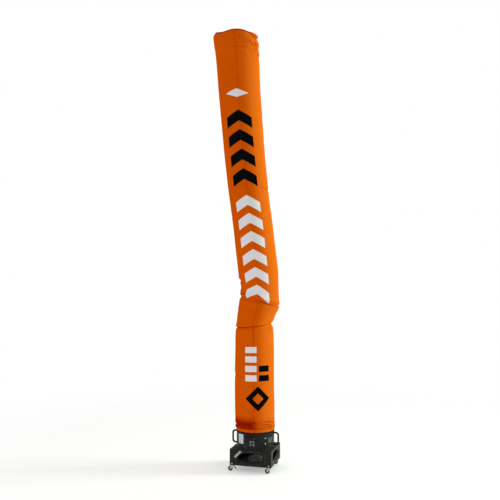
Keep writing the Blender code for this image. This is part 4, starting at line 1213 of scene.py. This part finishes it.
class AIRDANCER_OT_sleeve(bpy.types.Operator):
    """Make the sleeve and its top panel as fine cloth, with their seams, folds and wrinkles"""

    bl_idname = "airdancer.sleeve"
    bl_label = "Sleeve and top panel"

    def execute(self, context):
        points, flat = self.sleeve_surface(context.scene.dancer_cloth.wrinkles)
        mesh = sheet_mesh("sleeve_cloth", points, flat)
        mesh.transform(TO_FRAME)
        sleeve = add_piece("sleeve_cloth", mesh, "print", replaced=["sleeve"])
        top_points, top_flat = self.top_surface(context.scene.dancer_cloth.wrinkles)
        seam_path = top_points[0]
        top = sheet_mesh("top_cloth", top_points, top_flat, closed=True, caps=1)
        top.transform(TO_FRAME)
        panel = add_piece("top_cloth", top, "nylon", replaced=["top_panel"])
        radii = WELT_RADIUS * (1 + 0.25 * np.sin(np.arange(len(seam_path)) * 1.9))
        welt = Shape().add(swept(seam_path.tolist(), radii.tolist(), 8, closed=True), TO_FRAME)
        # The welt is darkened with painted shade for the shadow along the top seam.
        welt = welt.piece("top_welt", "shaded_welt_nylon", "nylon")
        return {"FINISHED"}

    def sleeve_surface(self, wrinkles):
        """The wrinkled sleeve's points, and their places on the flat cloth."""
        from_seam = column_turns()[None]
        height, turn = row_heights()[:, None], SEAM_TURN + from_seam
        smooth = sleeve_shape(height, turn)
        push = long_seam(height, from_seam) + fold_shift(height, turn, CREASE_LINES) * wrinkles
        push = push + (soft_swell(height, turn) - scattered_wrinkles(height, turn)) * wrinkles
        push = push * smooth_step(height, STRAP_TOP, STRAP_TOP + 0.020)
        below = TOP_HEIGHT - height
        push = push * smooth_step(below, 0.0, 0.012) - TOP_SEAM_NIP * bell(below, 0.006)
        flat = np.stack(np.broadcast_arrays(from_seam * BLOWN_RADIUS, height), axis=-1)
        return smooth + outward(smooth) * push[..., None], flat

    def top_surface(self, wrinkles):
        """The top panel's points, blown up from its seam, and their places on the flat cloth."""
        turn = np.linspace(0, 2 * math.pi, TOP_COLUMNS + 1)[None, :-1]
        seam = sleeve_shape(np.array([[TOP_HEIGHT]]), turn)
        share = (np.linspace(0, 1, TOP_RINGS + 1)[:-1] ** 1.6)[:, None]
        last = STATIONS[-1]
        middle = np.array((last.side, -last.forward, last.height - TOP_TILT_DROP / 2))
        out = (seam - middle) * np.array((1, 1, 0))
        away = out / np.linalg.norm(out, axis=2, keepdims=True)
        corner = sag_drop(CORNER_SAG, turn)
        centre, spread = (math.radians(angle) for angle in EAR_TURN_AND_SPREAD)
        swell = np.sin(math.pi * share**0.4) * window(turn, centre, spread)
        points = middle + out * (1 - share)[..., None] + away * (TOP_EAR * swell)[..., None]
        level = (seam[..., 2] + corner) * (1 - share) + middle[2] * share
        points[..., 2] = level - corner * (1 - share) ** 8 + TOP_DOME * (1 - (1 - share) ** 2)
        pleats = smooth_noise(turn, share * 0.25, 46, 0.05, 31)
        pleats = pleats + 0.6 * smooth_noise(turn, share, 90, 0.06, 32)
        pleats = pleats * np.exp(-share / TOP_PLEAT_REACH) * smooth_step(share, 0.0, 0.02)
        slack = smooth_noise(turn, share, 9, 0.22, 33) * share * (1 - share) * 4
        push = (TOP_PLEAT_DEPTH * pleats + TOP_SLACK_DEPTH * slack) * wrinkles
        points = points + outward(points, closed=True) * push[..., None]
        flat = points[:, np.r_[:TOP_COLUMNS, 0], :2] - middle[:2]
        return points, flat


class AIRDANCER_OT_strap(bpy.types.Operator):
    """Wind the webbing strap round the hem and sew its end down"""

    bl_idname = "airdancer.strap"
    bl_label = "Strap"

    def execute(self, context):
        start, lap = math.radians(STRAP_START_TURN), math.radians(STRAP_LAP)
        end = start + 2 * math.pi + lap
        turn = np.linspace(start, end, STRAP_STEPS)[:, None]
        tall = STRAP_TOP - STRAP_BOTTOM - 2 * STRAP_INSET
        depth, up = np.array((STRAP_SECTION_OUT, STRAP_SECTION_UP))[:, None]
        over = smooth_step(turn, end - lap - STRAP_RAMP, end - lap) * (STRAP_THICK + 0.0002)
        radius = STRAP_INNER + over + depth * STRAP_THICK
        radius = radius + STRAP_SWELL * smooth_noise(turn, up * 0.01, 40, 0.02, 51)
        wander = STRAP_SWELL * smooth_noise(turn, 0 * up, 14, 0.02, 52)
        height = STRAP_BOTTOM + STRAP_INSET + up * tall + wander
        x, y = radius * np.sin(turn), -radius * np.cos(turn)
        points = np.stack(np.broadcast_arrays(x, y, height), axis=-1)
        flat_up = np.concatenate((up * tall + depth * STRAP_THICK, up[:, :1] * tall), axis=1)
        flat = np.stack(np.broadcast_arrays(turn * STRAP_INNER, flat_up), axis=-1)
        mesh = sheet_mesh("strap_webbing", points[:, ::-1], flat[:, ::-1], closed=True, caps=2)
        mesh.set_sharp_from_angle(angle=math.radians(60))
        mesh.transform(TO_FRAME)
        add_piece("strap_webbing", mesh, "webbing", replaced=["strap"])
        self.sew(end, lap, tall)
        return {"FINISHED"}

    def sew(self, end, lap, tall):
        """A box of stitches with a cross in it, on the lapped end."""
        radius = STRAP_INNER + 2 * STRAP_THICK + 0.0004
        left, right = end - 0.80 * lap, end - 0.10 * lap
        low, high = STRAP_BOTTOM + 0.20 * tall, STRAP_BOTTOM + 0.82 * tall
        corners = ((left, low), (right, low), (right, high), (left, high))
        runs = [(corners[i], corners[(i + 1) % 4]) for i in range(4)]
        runs += [(corners[0], corners[2]), (corners[1], corners[3])]
        thread = Shape()
        for first, last in runs:
            length = math.hypot((last[0] - first[0]) * radius, last[1] - first[1])
            count = max(2, round(length / STITCH))
            for number in range(count):
                path = []
                for share, lift in STITCH_PATH:
                    along = (number + share) / count
                    turn = first[0] + (last[0] - first[0]) * along
                    height = first[1] + (last[1] - first[1]) * along
                    reach = radius + lift
                    path.append((reach * math.sin(turn), -reach * math.cos(turn), height))
                thread.add(swept(path, [THREAD_RADIUS] * len(path), 6), TO_FRAME)
        thread.piece("strap_stitches", "thread", "webbing")


class AIRDANCER_OT_duct(bpy.types.Operator):
    """Make the duct with its flange, its rolled rim, its weld and its screws"""

    bl_idname = "airdancer.duct"
    bl_label = "Duct"

    def execute(self, context):
        radius, inner = DUCT_RADIUS, DUCT_RADIUS - DUCT_WALL
        flange_top = DUCT_FLOOR + FLANGE_THICKNESS
        profile = [
            (FLANGE_RADIUS - 0.0006, DUCT_FLOOR),
            (FLANGE_RADIUS, DUCT_FLOOR + 0.0006),
            (FLANGE_RADIUS, flange_top - 0.0008),
            (FLANGE_RADIUS - 0.0008, flange_top),
            (radius + 0.0036, flange_top),
            (radius + 0.0014, flange_top + 0.0007),
            (radius + 0.0004, flange_top + 0.0020),
            (radius, flange_top + 0.0040),
            (radius, DUCT_TOP - 0.0100),
            (radius, DUCT_TOP - 0.0022),
            (radius - 0.0008, DUCT_TOP - 0.0006),
            (radius - 0.0026, DUCT_TOP),
            (radius - 0.0046, DUCT_TOP - 0.0006),
            (radius - 0.0056, DUCT_TOP - 0.0024),
            (radius - 0.0050, DUCT_TOP - 0.0044),
            (inner - 0.0010, DUCT_TOP - 0.0054),
            (inner, DUCT_TOP - 0.0080),
            (inner, DUCT_FLOOR + 0.0010),
            (inner + 0.0006, DUCT_FLOOR),
        ]
        shell = Shape().add(turned(profile, 144, loop=True), Matrix.Translation(DUCT_AXIS))
        shell.piece("duct_shell", "steel", "housing", replaced=["duct"], sharp=50)
        screws = Shape()
        for place in round_duct(FLANGE_SCREWS, FLANGE_SCREW_CIRCLE, flange_top, 0.5):
            screws.add(socket_screw(*FLANGE_SCREW), Matrix.Translation(place))
        screws.piece("flange_screws", "zinc", "zinc")
        levels = np.linspace(flange_top + 0.004, STRAP_BOTTOM - 0.012, DUCT_WELD_STEPS)
        path = [DUCT_AXIS + Vector((0, DUCT_RADIUS + 0.0002, level)) for level in levels]
        radii = [DUCT_WELD + WELD_RIPPLE * abs(math.sin(number * 0.9)) for number in range(len(path))]
        weld = Shape().add(swept(path, radii, 10))
        weld.piece("duct_weld", "steel", "housing", sharp=80)
        return {"FINISHED"}


class AIRDANCER_OT_housing(bpy.types.Operator):
    """Coat the housing and its fittings, and add their rivets, screws and welds"""

    bl_idname = "airdancer.housing"
    bl_label = "Housing"

    def execute(self, context):
        for name in ("top_plate", "base_plate", "switch_box"):
            dress_node(name, "steel", 0.0008)
        for side in PANELS:
            self.panel(side)
            self.bell_mouth(side)
        dress_node("left_blank_plate", "plate", 0.0002)
        # Painted highlight: the front plate's pale finish stands where a highlight on the front inlet's lip
        # shows.
        dress_node("front_blank_plate", "lip_highlight_plate", 0.0002)
        dress_node("right_blank_plate", "dull_plate", 0.0002)
        for name in [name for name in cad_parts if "_bolt_" in name]:
            dress_node(name, "zinc", 0.0004)
        self.panel_rivets()
        self.plate_rivets()
        self.handles()
        self.handle_welds()
        return {"FINISHED"}

    def panel_rivets(self):
        """A row of rivets along the upper and lower edge of each panel, and screws round its hole."""
        rivets = Shape()
        screws = Shape()
        for side in PANELS:
            spin = about_duct(math.radians(side.turn))
            for level in RIVET_LEVELS:
                for number in range(RIVETS_A_ROW):
                    along = (2 * number / (RIVETS_A_ROW - 1) - 1) * (side.half_width - PANEL_RIVET_INSET)
                    place = facing((along, -side.reach, level), (0, -1, 0))
                    rivets.add(rivet(*PANEL_RIVET), spin @ place)
            for degrees in INLET_SCREW_TURNS:
                reach = side.half_width - INLET_MARGIN + INLET_SCREW_OFFSET
                (x, z), = oval((math.radians(degrees),), reach, INLET_HALF_HEIGHT + INLET_SCREW_OFFSET)
                from_plate = Vector((x, 0, INLET_LEVEL + z)) - FRONT_PLATE_MIDDLE
                if side.name == "front" and from_plate.xz.length < FRONT_PLATE_CLEARANCE:
                    continue
                place = facing((x, -side.reach, INLET_LEVEL + z), (0, -1, 0))
                screws.add(socket_screw(*INLET_SCREW), spin @ place)
        rivets.piece("panel_rivets", "steel", "housing")
        screws.piece("inlet_screws", "zinc", "zinc")

    def panel(self, side):
        """A sheet panel with an oval hole, whose edges are rolled over."""
        half_width, half_height = side.half_width, PANEL_HALF_HEIGHT
        hole = (half_width - INLET_MARGIN, INLET_HALF_HEIGHT)
        slope = (half_height * hole[0]) / (half_width * hole[1])
        corner = math.atan(slope ** (INLET_SQUARENESS / 2))
        corners = [corner, math.pi - corner, math.pi + corner, 2 * math.pi - corner]
        turns = sorted(circle(INLET_SIDES) + corners)
        inner = oval(turns, *hole)
        outer = []
        for x, z in inner:
            reach = min(half_width / max(abs(x), 1e-9), half_height / max(abs(z), 1e-9))
            outer.append((x * reach, z * reach))

        def ring(share, past, depth):
            points = []
            for (x, z), (far_x, far_z) in zip(inner, outer):
                aside, up = far_x - x, far_z - z
                along = share + past / math.hypot(aside, up)
                points.append((x + aside * along, -side.reach + depth, z + up * along + INLET_LEVEL))
            return points

        rings = [ring(*place) for place in PANEL_SECTION]
        sheet = Shape().add(looped(rings), about_duct(math.radians(side.turn)))
        replaced = [f"{side.name}_panel"]
        sheet.piece(f"{side.name}_panel_sheet", "steel", "housing", replaced=replaced, sharp=50)

    def bell_mouth(self, side):
        """An inlet's bell mouth: a flange behind its panel, and a throat with a rolled edge."""
        start, thick = DUCT_WALL + 0.0003, DUCT_WALL
        bends = [math.pi / 2 * step / BELL_STEPS for step in range(BELL_STEPS + 1)]
        front, back = [(-BELL_FLANGE, start)], [(-BELL_FLANGE, start + thick)]
        for bend in bends:
            depth = BELL_DEPTH * (1 - math.cos(bend))
            front.append((BELL_TAPER * math.sin(bend), start + depth))
            back.append(((BELL_TAPER - thick) * math.sin(bend), start + depth + thick * math.cos(bend)))
        profile = front + [(BELL_TAPER - thick / 2, start + BELL_DEPTH + 0.0004)] + back[::-1]
        rings = []
        for narrowing, depth in profile:
            size = (side.half_width - INLET_MARGIN - narrowing, INLET_HALF_HEIGHT - narrowing)
            edge = oval(circle(INLET_SIDES), *size)
            rings.append([(x, -side.reach + depth, z + INLET_LEVEL) for x, z in edge])
        mouth = Shape().add(looped(rings[::-1]), about_duct(math.radians(side.turn)))
        replaced = [f"{side.name}_inlet"]
        mouth.piece(f"{side.name}_bell_mouth", "steel", "housing", replaced=replaced, sharp=50)

    def plate_rivets(self):
        """A rivet near each corner of the duct's plates, and at each end of the front one."""
        rivets = Shape()
        for turn, width, low, high in DUCT_PLATES:
            for side in (-1, 1):
                for level in (low + PLATE_RIVET_INSET, high - PLATE_RIVET_INSET):
                    angle = math.radians(turn) + side * (width / 2 - PLATE_RIVET_INSET) / DUCT_RADIUS
                    away = Vector((math.sin(angle), -math.cos(angle), 0))
                    place = DUCT_AXIS + away * DUCT_PLATE_FACE + Vector((0, 0, level))
                    rivets.add(rivet(*PLATE_RIVET), facing(place, away))
        tilt = Matrix.Rotation(math.radians(-FRONT_PLATE_TILT), 4, "Y")
        for along in (-FRONT_PLATE_RIVET_REACH, FRONT_PLATE_RIVET_REACH):
            place = FRONT_PLATE_MIDDLE + (tilt @ Vector((along, 0, 0)))
            rivets.add(rivet(*PLATE_RIVET), facing(DUCT_AXIS + place, (0, -1, 0)))
        rivets.piece("plate_rivets", "zinc", "zinc")

    def handles(self):
        """Bent round tubes."""
        low, high = HANDLE_ENDS
        for name, side in (("left", -1), ("right", 1)):
            path = [(DUCT_RADIUS + 0.0004, high)]
            bends = ((high - HANDLE_CORNER, 90), (low + HANDLE_CORNER, 0))
            for middle, first in bends:
                for step in range(HANDLE_BEND_STEPS + 1):
                    angle = math.radians(first - 90 * step / HANDLE_BEND_STEPS)
                    reach = HANDLE_REACH - HANDLE_CORNER + HANDLE_CORNER * math.cos(angle)
                    path.append((reach, middle + HANDLE_CORNER * math.sin(angle)))
            path.append((DUCT_RADIUS + 0.0004, low))
            places = [DUCT_AXIS + Vector((side * reach, 0, level)) for reach, level in path]
            bar = Shape().add(swept(places, [HANDLE_BAR] * len(places), 28))
            bar.piece(f"{name}_handle_bar", "steel", "housing", replaced=[f"{name}_handle"])

    def handle_welds(self):
        """A ring of weld where each end of a handle meets the duct."""
        weld = Shape()
        for side in (-1, 1):
            for level in HANDLE_ENDS:
                path, radii = [], []
                for number, turn in enumerate(circle(HANDLE_WELD_STEPS)):
                    off, up = HANDLE_BAR * math.cos(turn), HANDLE_BAR * math.sin(turn)
                    reach = side * (math.sqrt(DUCT_RADIUS**2 - off**2) + 0.0006)
                    path.append(DUCT_AXIS + Vector((reach, off, level + up)))
                    radii.append(HANDLE_WELD + WELD_RIPPLE * math.sin(number * 2.4))
                weld.add(swept(path, radii, 8, closed=True))
        weld.piece("handle_welds", "steel", "housing", sharp=80)


class AIRDANCER_OT_switch(bpy.types.Operator):
    """Finish the switch, with its marks, its pointer, its screws and the cable gland's nut"""

    bl_idname = "airdancer.switch"
    bl_label = "Switch"

    def execute(self, context):
        for name in ("switch_knob", "cable_gland"):
            dress_node(name, "plastic", 0.0005)
        dress_node("switch_plate", "grey_plate", 0.0005)
        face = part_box("switch_plate")[0][1]
        centre = DUCT_AXIS + Vector((KNOB_SIDE, 0, KNOB_HEIGHT))
        marks = Shape()
        for number in range(SWITCH_MARKS):
            turn = math.radians(SWITCH_MARK_STEP * number)
            long = SWITCH_MARK_LONG if number in (0, SWITCH_MARKS - 1) else SWITCH_MARK_SHORT
            away = SWITCH_MARK_CIRCLE * Vector((math.sin(turn), 0, math.cos(turn)))
            place = Matrix.Translation(Vector((centre.x, face - 0.0001, centre.z)) + away)
            spin = Matrix.Rotation(turn, 4, "Y")
            marks.add(block((0.0009, 0.0003, long), 0.0001), place @ spin)
        marks.piece("switch_marks", "dark_mark", "plastic")
        low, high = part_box("switch_knob")
        pointer = Shape()
        place = Vector(((low[0] + high[0]) / 2, low[1] - 0.0001, high[2] - 0.0075))
        pointer.add(block(POINTER_SIZE, 0.00015), Matrix.Translation(place))
        pointer.piece("knob_pointer", "mark", "plastic", "switch_knob")
        screws = Shape()
        for side, level in CORNERS:
            away = SWITCH_PLATE_SCREW_REACH * Vector((side, 0, level))
            place = Vector((centre.x, face, centre.z)) + away
            screws.add(socket_screw(*SWITCH_PLATE_SCREW), facing(place, (0, -1, 0)))
        low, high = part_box("switch_box")
        inset = SWITCH_BOX_SCREW_INSET
        for side in (low[0] + inset, high[0] - inset):
            for level in (low[2] + inset, high[2] - inset):
                screws.add(socket_screw(*SWITCH_BOX_SCREW), facing((side, low[1], level), (0, -1, 0)))
        screws.piece("switch_screws", "zinc", "zinc")
        low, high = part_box("cable_gland")
        middle = ((low[1] + high[1]) / 2, (low[2] + high[2]) / 2)
        collar = Shape()
        collar.add(turned(GLAND_NUT, 6, loop=True), facing((low[0] + 0.0002, *middle), (1, 0, 0)))
        ribs = [(0.0101 + 0.0006 * (rib % 2), 0.0090 + 0.0011 * rib) for rib in range(GLAND_RIBS)]
        ribs = ribs + [(0.0098, ribs[-1][1]), (0.0098, ribs[0][1])]
        collar.add(turned(ribs, 32, loop=True), facing((low[0], *middle), (1, 0, 0)))
        collar.piece("gland_nut", "plastic", "plastic")
        return {"FINISHED"}


class AIRDANCER_OT_fan(bpy.types.Operator):
    """Finish the fan and its motor, with the motor's cooling fins and its lid"""

    bl_idname = "airdancer.fan"
    bl_label = "Fan and motor"

    def execute(self, context):
        dress_node("fan", "casting", 0.0005)
        dress_node("motor", "casting", 0.0008)
        fins = Shape()
        fin = Matrix.Translation((MOTOR_RADIUS + 0.0022, 0, (FINS_LOW + FINS_HIGH) / 2))
        for turn in circle(MOTOR_FINS):
            fins.add(block(FIN_SIZE, 0.0006), about_duct(turn) @ fin)
        fins.piece("motor_fins", "casting", "motor")
        top = MOTOR_TOP
        rim = [
            (0.0780, top),
            (0.0780, top + 0.0018),
            (0.0760, top + 0.0030),
            (0.0600, top + 0.0034),
            (0.0560, top + 0.0022),
            (0.0360, top + 0.0022),
            (0.0330, top + 0.0038),
            (0.0290, top + 0.0038),
            (0.0280, top + 0.0020),
            (0.0280, top),
        ]
        lid = Shape().add(turned(rim, 72, loop=True), Matrix.Translation(DUCT_AXIS))
        lid.piece("motor_lid", "casting", "motor")
        screws = Shape()
        for place in round_duct(6, MOTOR_SCREW_CIRCLE, top + 0.0030):
            screws.add(hex_bolt(*MOTOR_SCREW), Matrix.Translation(place))
        screws.piece("motor_screws", "zinc", "zinc")
        bolts = Shape()
        for place in round_duct(6, HUB_BOLT_CIRCLE, HUB_BOTTOM, 0.5):
            bolts.add(hex_bolt(*HUB_BOLT), facing(place, (0, 0, -1)))
        bolts.piece("hub_bolts", "zinc", "zinc", "fan")
        return {"FINISHED"}


class AIRDANCER_OT_castors(bpy.types.Operator):
    """Make the castors' tyres, hubs, nuts and plate bolts, and finish their forks and pedals"""

    bl_idname = "airdancer.castors"
    bl_label = "Castors"

    def execute(self, context):
        for name, x, y in CASTORS:
            dress_node(f"{name}_plate", "zinc", 0.0003)
            dress_node(f"{name}_fork", "zinc", 0.0003)
            centre = DUCT_AXIS + Vector((x - CASTOR_TRAIL, y, AXLE_HEIGHT))
            self.wheel(name, centre)
            nuts = Shape()
            for side in (-1, 1):
                place = centre + Vector((0, side * (FORK_HALF_WIDTH + 0.0029), 0))
                nuts.add(hex_bolt(*AXLE_NUT), facing(place, (0, side, 0)))
            nuts.piece(f"{name}_nuts", "zinc", "zinc", f"{name}_fork")
            bolts = Shape()
            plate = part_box(f"{name}_plate")[0][2]
            for side, end in CORNERS:
                place = DUCT_AXIS + Vector((x, y, plate)) + CASTOR_BOLT_REACH * Vector((side, end, 0))
                bolts.add(hex_bolt(*CASTOR_BOLT), facing(place, (0, 0, -1)))
            bolts.piece(f"{name}_bolts", "zinc", "zinc")
            if f"{name}_pedal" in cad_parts:
                self.pedal(name, x, y)
        return {"FINISHED"}

    def wheel(self, name, centre):
        """A tyre with a crowned tread on a ribbed plastic hub, turned about the axle."""
        body = f"{name}_wheel"
        axle = facing(centre, (0, 1, 0))
        half, seat = WHEEL_HALF_WIDTH, HUB_SEAT
        tread = [
            (seat, -0.70 * half),
            (seat + 0.0010, -0.92 * half),
            (WHEEL_RADIUS - 0.0040, -half),
            (WHEEL_RADIUS - 0.0014, -0.80 * half),
            (WHEEL_RADIUS - 0.0003, -0.42 * half),
            (WHEEL_RADIUS, 0.0),
        ]
        tyre = Shape().add(turned(mirrored(tread), 64, loop=True), axle)
        tyre.piece(f"{name}_tyre", "tyre", "rubber", body, sharp=50)
        bore, hub_half = WHEEL_BORE + 0.0001, 0.98 * half
        disc = [
            (bore, -hub_half),
            (HUB_BOSS, -hub_half),
            (0.0090, -0.45 * half),
            (seat - 0.0030, -0.45 * half),
            (seat - 0.0025, -0.86 * half),
            (seat - 0.0004, -0.84 * half),
            (seat - 0.0002, 0.0),
        ]
        hub = Shape().add(turned(mirrored(disc), 48, loop=True), axle)
        middle, long = (HUB_BOSS + seat - HUB_RIM) / 2, seat - HUB_RIM - 0.0082
        for turn in circle(6):
            spin = Matrix.Rotation(turn, 4, "Z")
            for side in (-0.58, 0.58):
                rib = Matrix.Translation((middle, 0, side * half))
                hub.add(block((long, 0.0020, 0.40 * half), 0.0004), axle @ spin @ rib)
        hub.piece(f"{name}_hub", "hub", "plastic", body, replaced=[f"{name}_wheel"])

    def pedal(self, name, x, y):
        """Coats the brake pedal and gives it treads for a foot."""
        node = f"{name}_pedal"
        dress_node(node, "plastic", 0.0004)
        slope = math.radians(PEDAL_TAB_SLOPE)
        ridges = Shape()
        for along in PEDAL_RIDGES:
            side = PEDAL_TAB_START[0] + along * math.cos(slope) + PEDAL_LIFT * math.sin(slope)
            level = PEDAL_TAB_START[1] - along * math.sin(slope) + PEDAL_LIFT * math.cos(slope)
            place = DUCT_AXIS + Vector((x + side, y, level))
            spin = Matrix.Translation(place) @ Matrix.Rotation(slope, 4, "Y")
            ridges.add(block(PEDAL_RIDGE_SIZE, 0.0003), spin)
        ridges.piece(f"{name}_treads", "plastic", "plastic", node)


class AIRDANCER_OT_studio(bpy.types.Operator):
    """Set out the pale floor, the soft lights, the pale surroundings and the camera"""

    bl_idname = "airdancer.studio"
    bl_label = "Studio"

    def execute(self, context):
        studio = context.scene.dancer_studio
        context.scene.view_settings.view_transform = "Standard"
        self.floor(studio)
        self.surroundings(context, studio)
        for lamp in LAMPS:
            data = bpy.data.lights.new(lamp.name, "AREA")
            data.shape = "RECTANGLE"
            data.size, data.size_y = lamp.width, lamp.tall
            data.energy = lamp.power * studio.light
            data.color = lamp.colour
            light = bpy.data.objects.new(lamp.name, data)
            place = TO_FRAME @ Vector(lamp.place)
            aim = TO_FRAME @ Vector((0, 0, lamp.aim_height))
            light.matrix_world = facing(place, place - aim)
            context.scene.collection.objects.link(light)
        data = bpy.data.cameras.new("camera")
        data.lens, data.sensor_width = CAMERA_LENS, CAMERA_SENSOR
        camera = bpy.data.objects.new("camera", data)
        camera.location = CAMERA_PLACE
        camera.rotation_euler = (CAMERA_TILT, 0, VIEWER_TURN)
        context.scene.collection.objects.link(camera)
        context.scene.camera = camera
        return {"FINISHED"}

    def floor(self, studio):
        """A wide, flat sheet of paper."""
        steps = np.linspace(-FLOOR_REACH, FLOOR_REACH, 49)
        x, y = np.meshgrid(steps, steps)
        points = np.stack((x, y, 0 * x), axis=-1)
        mesh = sheet_mesh("floor", points, points[..., :2])
        mesh.materials.append(paper_finish(studio))
        floor = bpy.data.objects.new("floor", mesh)
        bpy.context.scene.collection.objects.link(floor)

    def surroundings(self, context, studio):
        """Pale light from all round, with plain white behind the object."""
        world = bpy.data.worlds.new("surroundings")
        context.scene.world = world
        world.use_nodes = True
        nodes, links = world.node_tree.nodes, world.node_tree.links
        nodes.clear()
        seen, lit = nodes.new("ShaderNodeBackground"), nodes.new("ShaderNodeBackground")
        seen.inputs["Color"].default_value = (1, 1, 1, 1)
        lit.inputs["Color"].default_value = rgb(studio.ambient_colour)
        lit.inputs["Strength"].default_value = studio.ambient
        path, mix = nodes.new("ShaderNodeLightPath"), nodes.new("ShaderNodeMixShader")
        end = nodes.new("ShaderNodeOutputWorld")
        links.new(path.outputs["Is Camera Ray"], mix.inputs[0])
        links.new(lit.outputs[0], mix.inputs[1])
        links.new(seen.outputs[0], mix.inputs[2])
        links.new(mix.outputs[0], end.inputs["Surface"])


def colour_property(name, about, default):
    return FloatVectorProperty(
        name=name, description=about, default=default, size=3, min=0.0, max=1.0, subtype="COLOR"
    )


class AirdancerCloth(bpy.types.PropertyGroup):
    """The cloth's colours and sizes"""

    orange: colour_property("Nylon", "Colour of the dyed nylon", (0.745, 0.103, 0.0))
    print_white: colour_property("White ink", "Colour of the pale printed shapes", (0.80, 0.775, 0.79))
    print_black: colour_property(
        "Black ink", "Colour of the dark printed shapes", (0.0035, 0.0038, 0.0042)
    )
    grime: colour_property("Grime", "Colour of the dust worked into the weave", (0.40, 0.060, 0.004))
    # Painted shade: the colour that the cloth above the strap is darkened towards.
    hem_shade: colour_property("Stain", "Colour of the damp, soiled cloth above the strap", (0.30, 0.004, 0.0))
    # Painted light: the lighter, yellower orange that the side towards the key lamp is mixed towards.
    lit_side: colour_property("Faded nylon", "Colour of the sun-faded nylon", (0.760, 0.150, 0.0080))
    # Painted shade: the colour that the seams, the creases and the top welt are darkened towards.
    double: colour_property("Seams", "Colour of doubled and creased nylon", (0.38, 0.028, 0.0))
    webbing: colour_property("Webbing", "Colour of the strap", (0.010, 0.010, 0.011))
    thread: colour_property("Thread", "Colour of the strap's stitches", (0.045, 0.045, 0.046))
    wrinkles: FloatProperty(
        name="Wrinkles", description="How deep the wrinkles are", default=1.0, min=0.0, max=1.5
    )
    ripstop_pitch: FloatProperty(
        name="Ripstop pitch",
        description="Distance between the thick threads",
        default=0.0055,
        min=0.002,
        max=0.02,
        unit="LENGTH",
    )
    stitch_length: FloatProperty(
        name="Stitch", description="Length of a seam stitch", default=0.0042, min=0.001, unit="LENGTH"
    )


class AirdancerBlower(bpy.types.PropertyGroup):
    """The blower's colours"""

    steel: colour_property("Steel", "Colour of the powder coat", (0.0062, 0.0072, 0.0064))
    dust: colour_property("Dust", "Colour of the settled dust", (0.060, 0.060, 0.052))
    scuff: colour_property("Scuffs", "Colour of rubbed and chipped places", (0.060, 0.063, 0.060))
    zinc: colour_property("Zinc", "Colour of the plated steel", (0.46, 0.46, 0.45))
    zinc_tint: colour_property("Zinc tint", "Colour of the yellowed plating", (0.52, 0.45, 0.30))
    plate: colour_property("Plates", "Colour of the blank plates", (0.60, 0.62, 0.65))
    tyre: colour_property("Tyres", "Colour of the rubber", (0.014, 0.014, 0.014))
    hub: colour_property("Hubs", "Colour of the wheels' plastic", (0.120, 0.122, 0.125))
    plastic: colour_property("Plastic", "Colour of the knob and the gland", (0.011, 0.011, 0.012))
    mark: colour_property("Marks", "Colour of the knob's pointer", (0.62, 0.62, 0.60))
    casting: colour_property("Casting", "Colour of the motor and the fan", (0.34, 0.34, 0.335))
    dust_share: FloatProperty(
        name="Dust", description="How much dust lies on it", default=0.35, min=0.0, max=1.0
    )


class AirdancerStudio(bpy.types.PropertyGroup):
    """The studio's light"""

    light: FloatProperty(name="Lamps", description="Strength of the lamps", default=1.0, min=0.0, max=5.0)
    ambient: FloatProperty(
        name="Surroundings",
        description="Strength of the light from all round",
        default=0.66,
        min=0.0,
        max=5.0,
    )
    ambient_colour: colour_property("Surroundings", "Colour of the light from all round", (1.0, 1.0, 1.0))
    floor: colour_property("Floor", "Colour of the paper", (0.74, 0.74, 0.735))


class AIRDANCER_PT_parts(bpy.types.Panel):
    """The air dancer's pieces, with their sizes and colours"""

    bl_idname = "AIRDANCER_PT_parts"
    bl_label = "Air Dancer"
    bl_space_type = "VIEW_3D"
    bl_region_type = "UI"
    bl_category = "Air Dancer"

    def draw(self, context):
        layout = self.layout
        for name in GROUPS:
            box = layout.box()
            group = getattr(context.scene, name)
            for key in group.__annotations__:
                box.prop(group, key)
        for operator in OPERATORS:
            layout.operator(operator.bl_idname)


GROUPS = {
    "dancer_cloth": AirdancerCloth,
    "dancer_blower": AirdancerBlower,
    "dancer_studio": AirdancerStudio,
}
OPERATORS = (
    AIRDANCER_OT_sleeve,
    AIRDANCER_OT_strap,
    AIRDANCER_OT_duct,
    AIRDANCER_OT_housing,
    AIRDANCER_OT_switch,
    AIRDANCER_OT_fan,
    AIRDANCER_OT_castors,
    AIRDANCER_OT_studio,
)
CLASSES = (*GROUPS.values(), *OPERATORS, AIRDANCER_PT_parts)


def register():
    for made in CLASSES:
        bpy.utils.register_class(made)
    for name, group in GROUPS.items():
        setattr(bpy.types.Scene, name, PointerProperty(type=group))


def unregister():
    for name in GROUPS:
        delattr(bpy.types.Scene, name)
    for made in reversed(CLASSES):
        bpy.utils.unregister_class(made)


def main():
    register()
    for operator in OPERATORS:
        group, name = operator.bl_idname.split(".")
        if getattr(getattr(bpy.ops, group), name)() != {"FINISHED"}:
            raise RuntimeError(f"{operator.bl_label} wasn't finished")


if __name__ == "__main__":
    main()
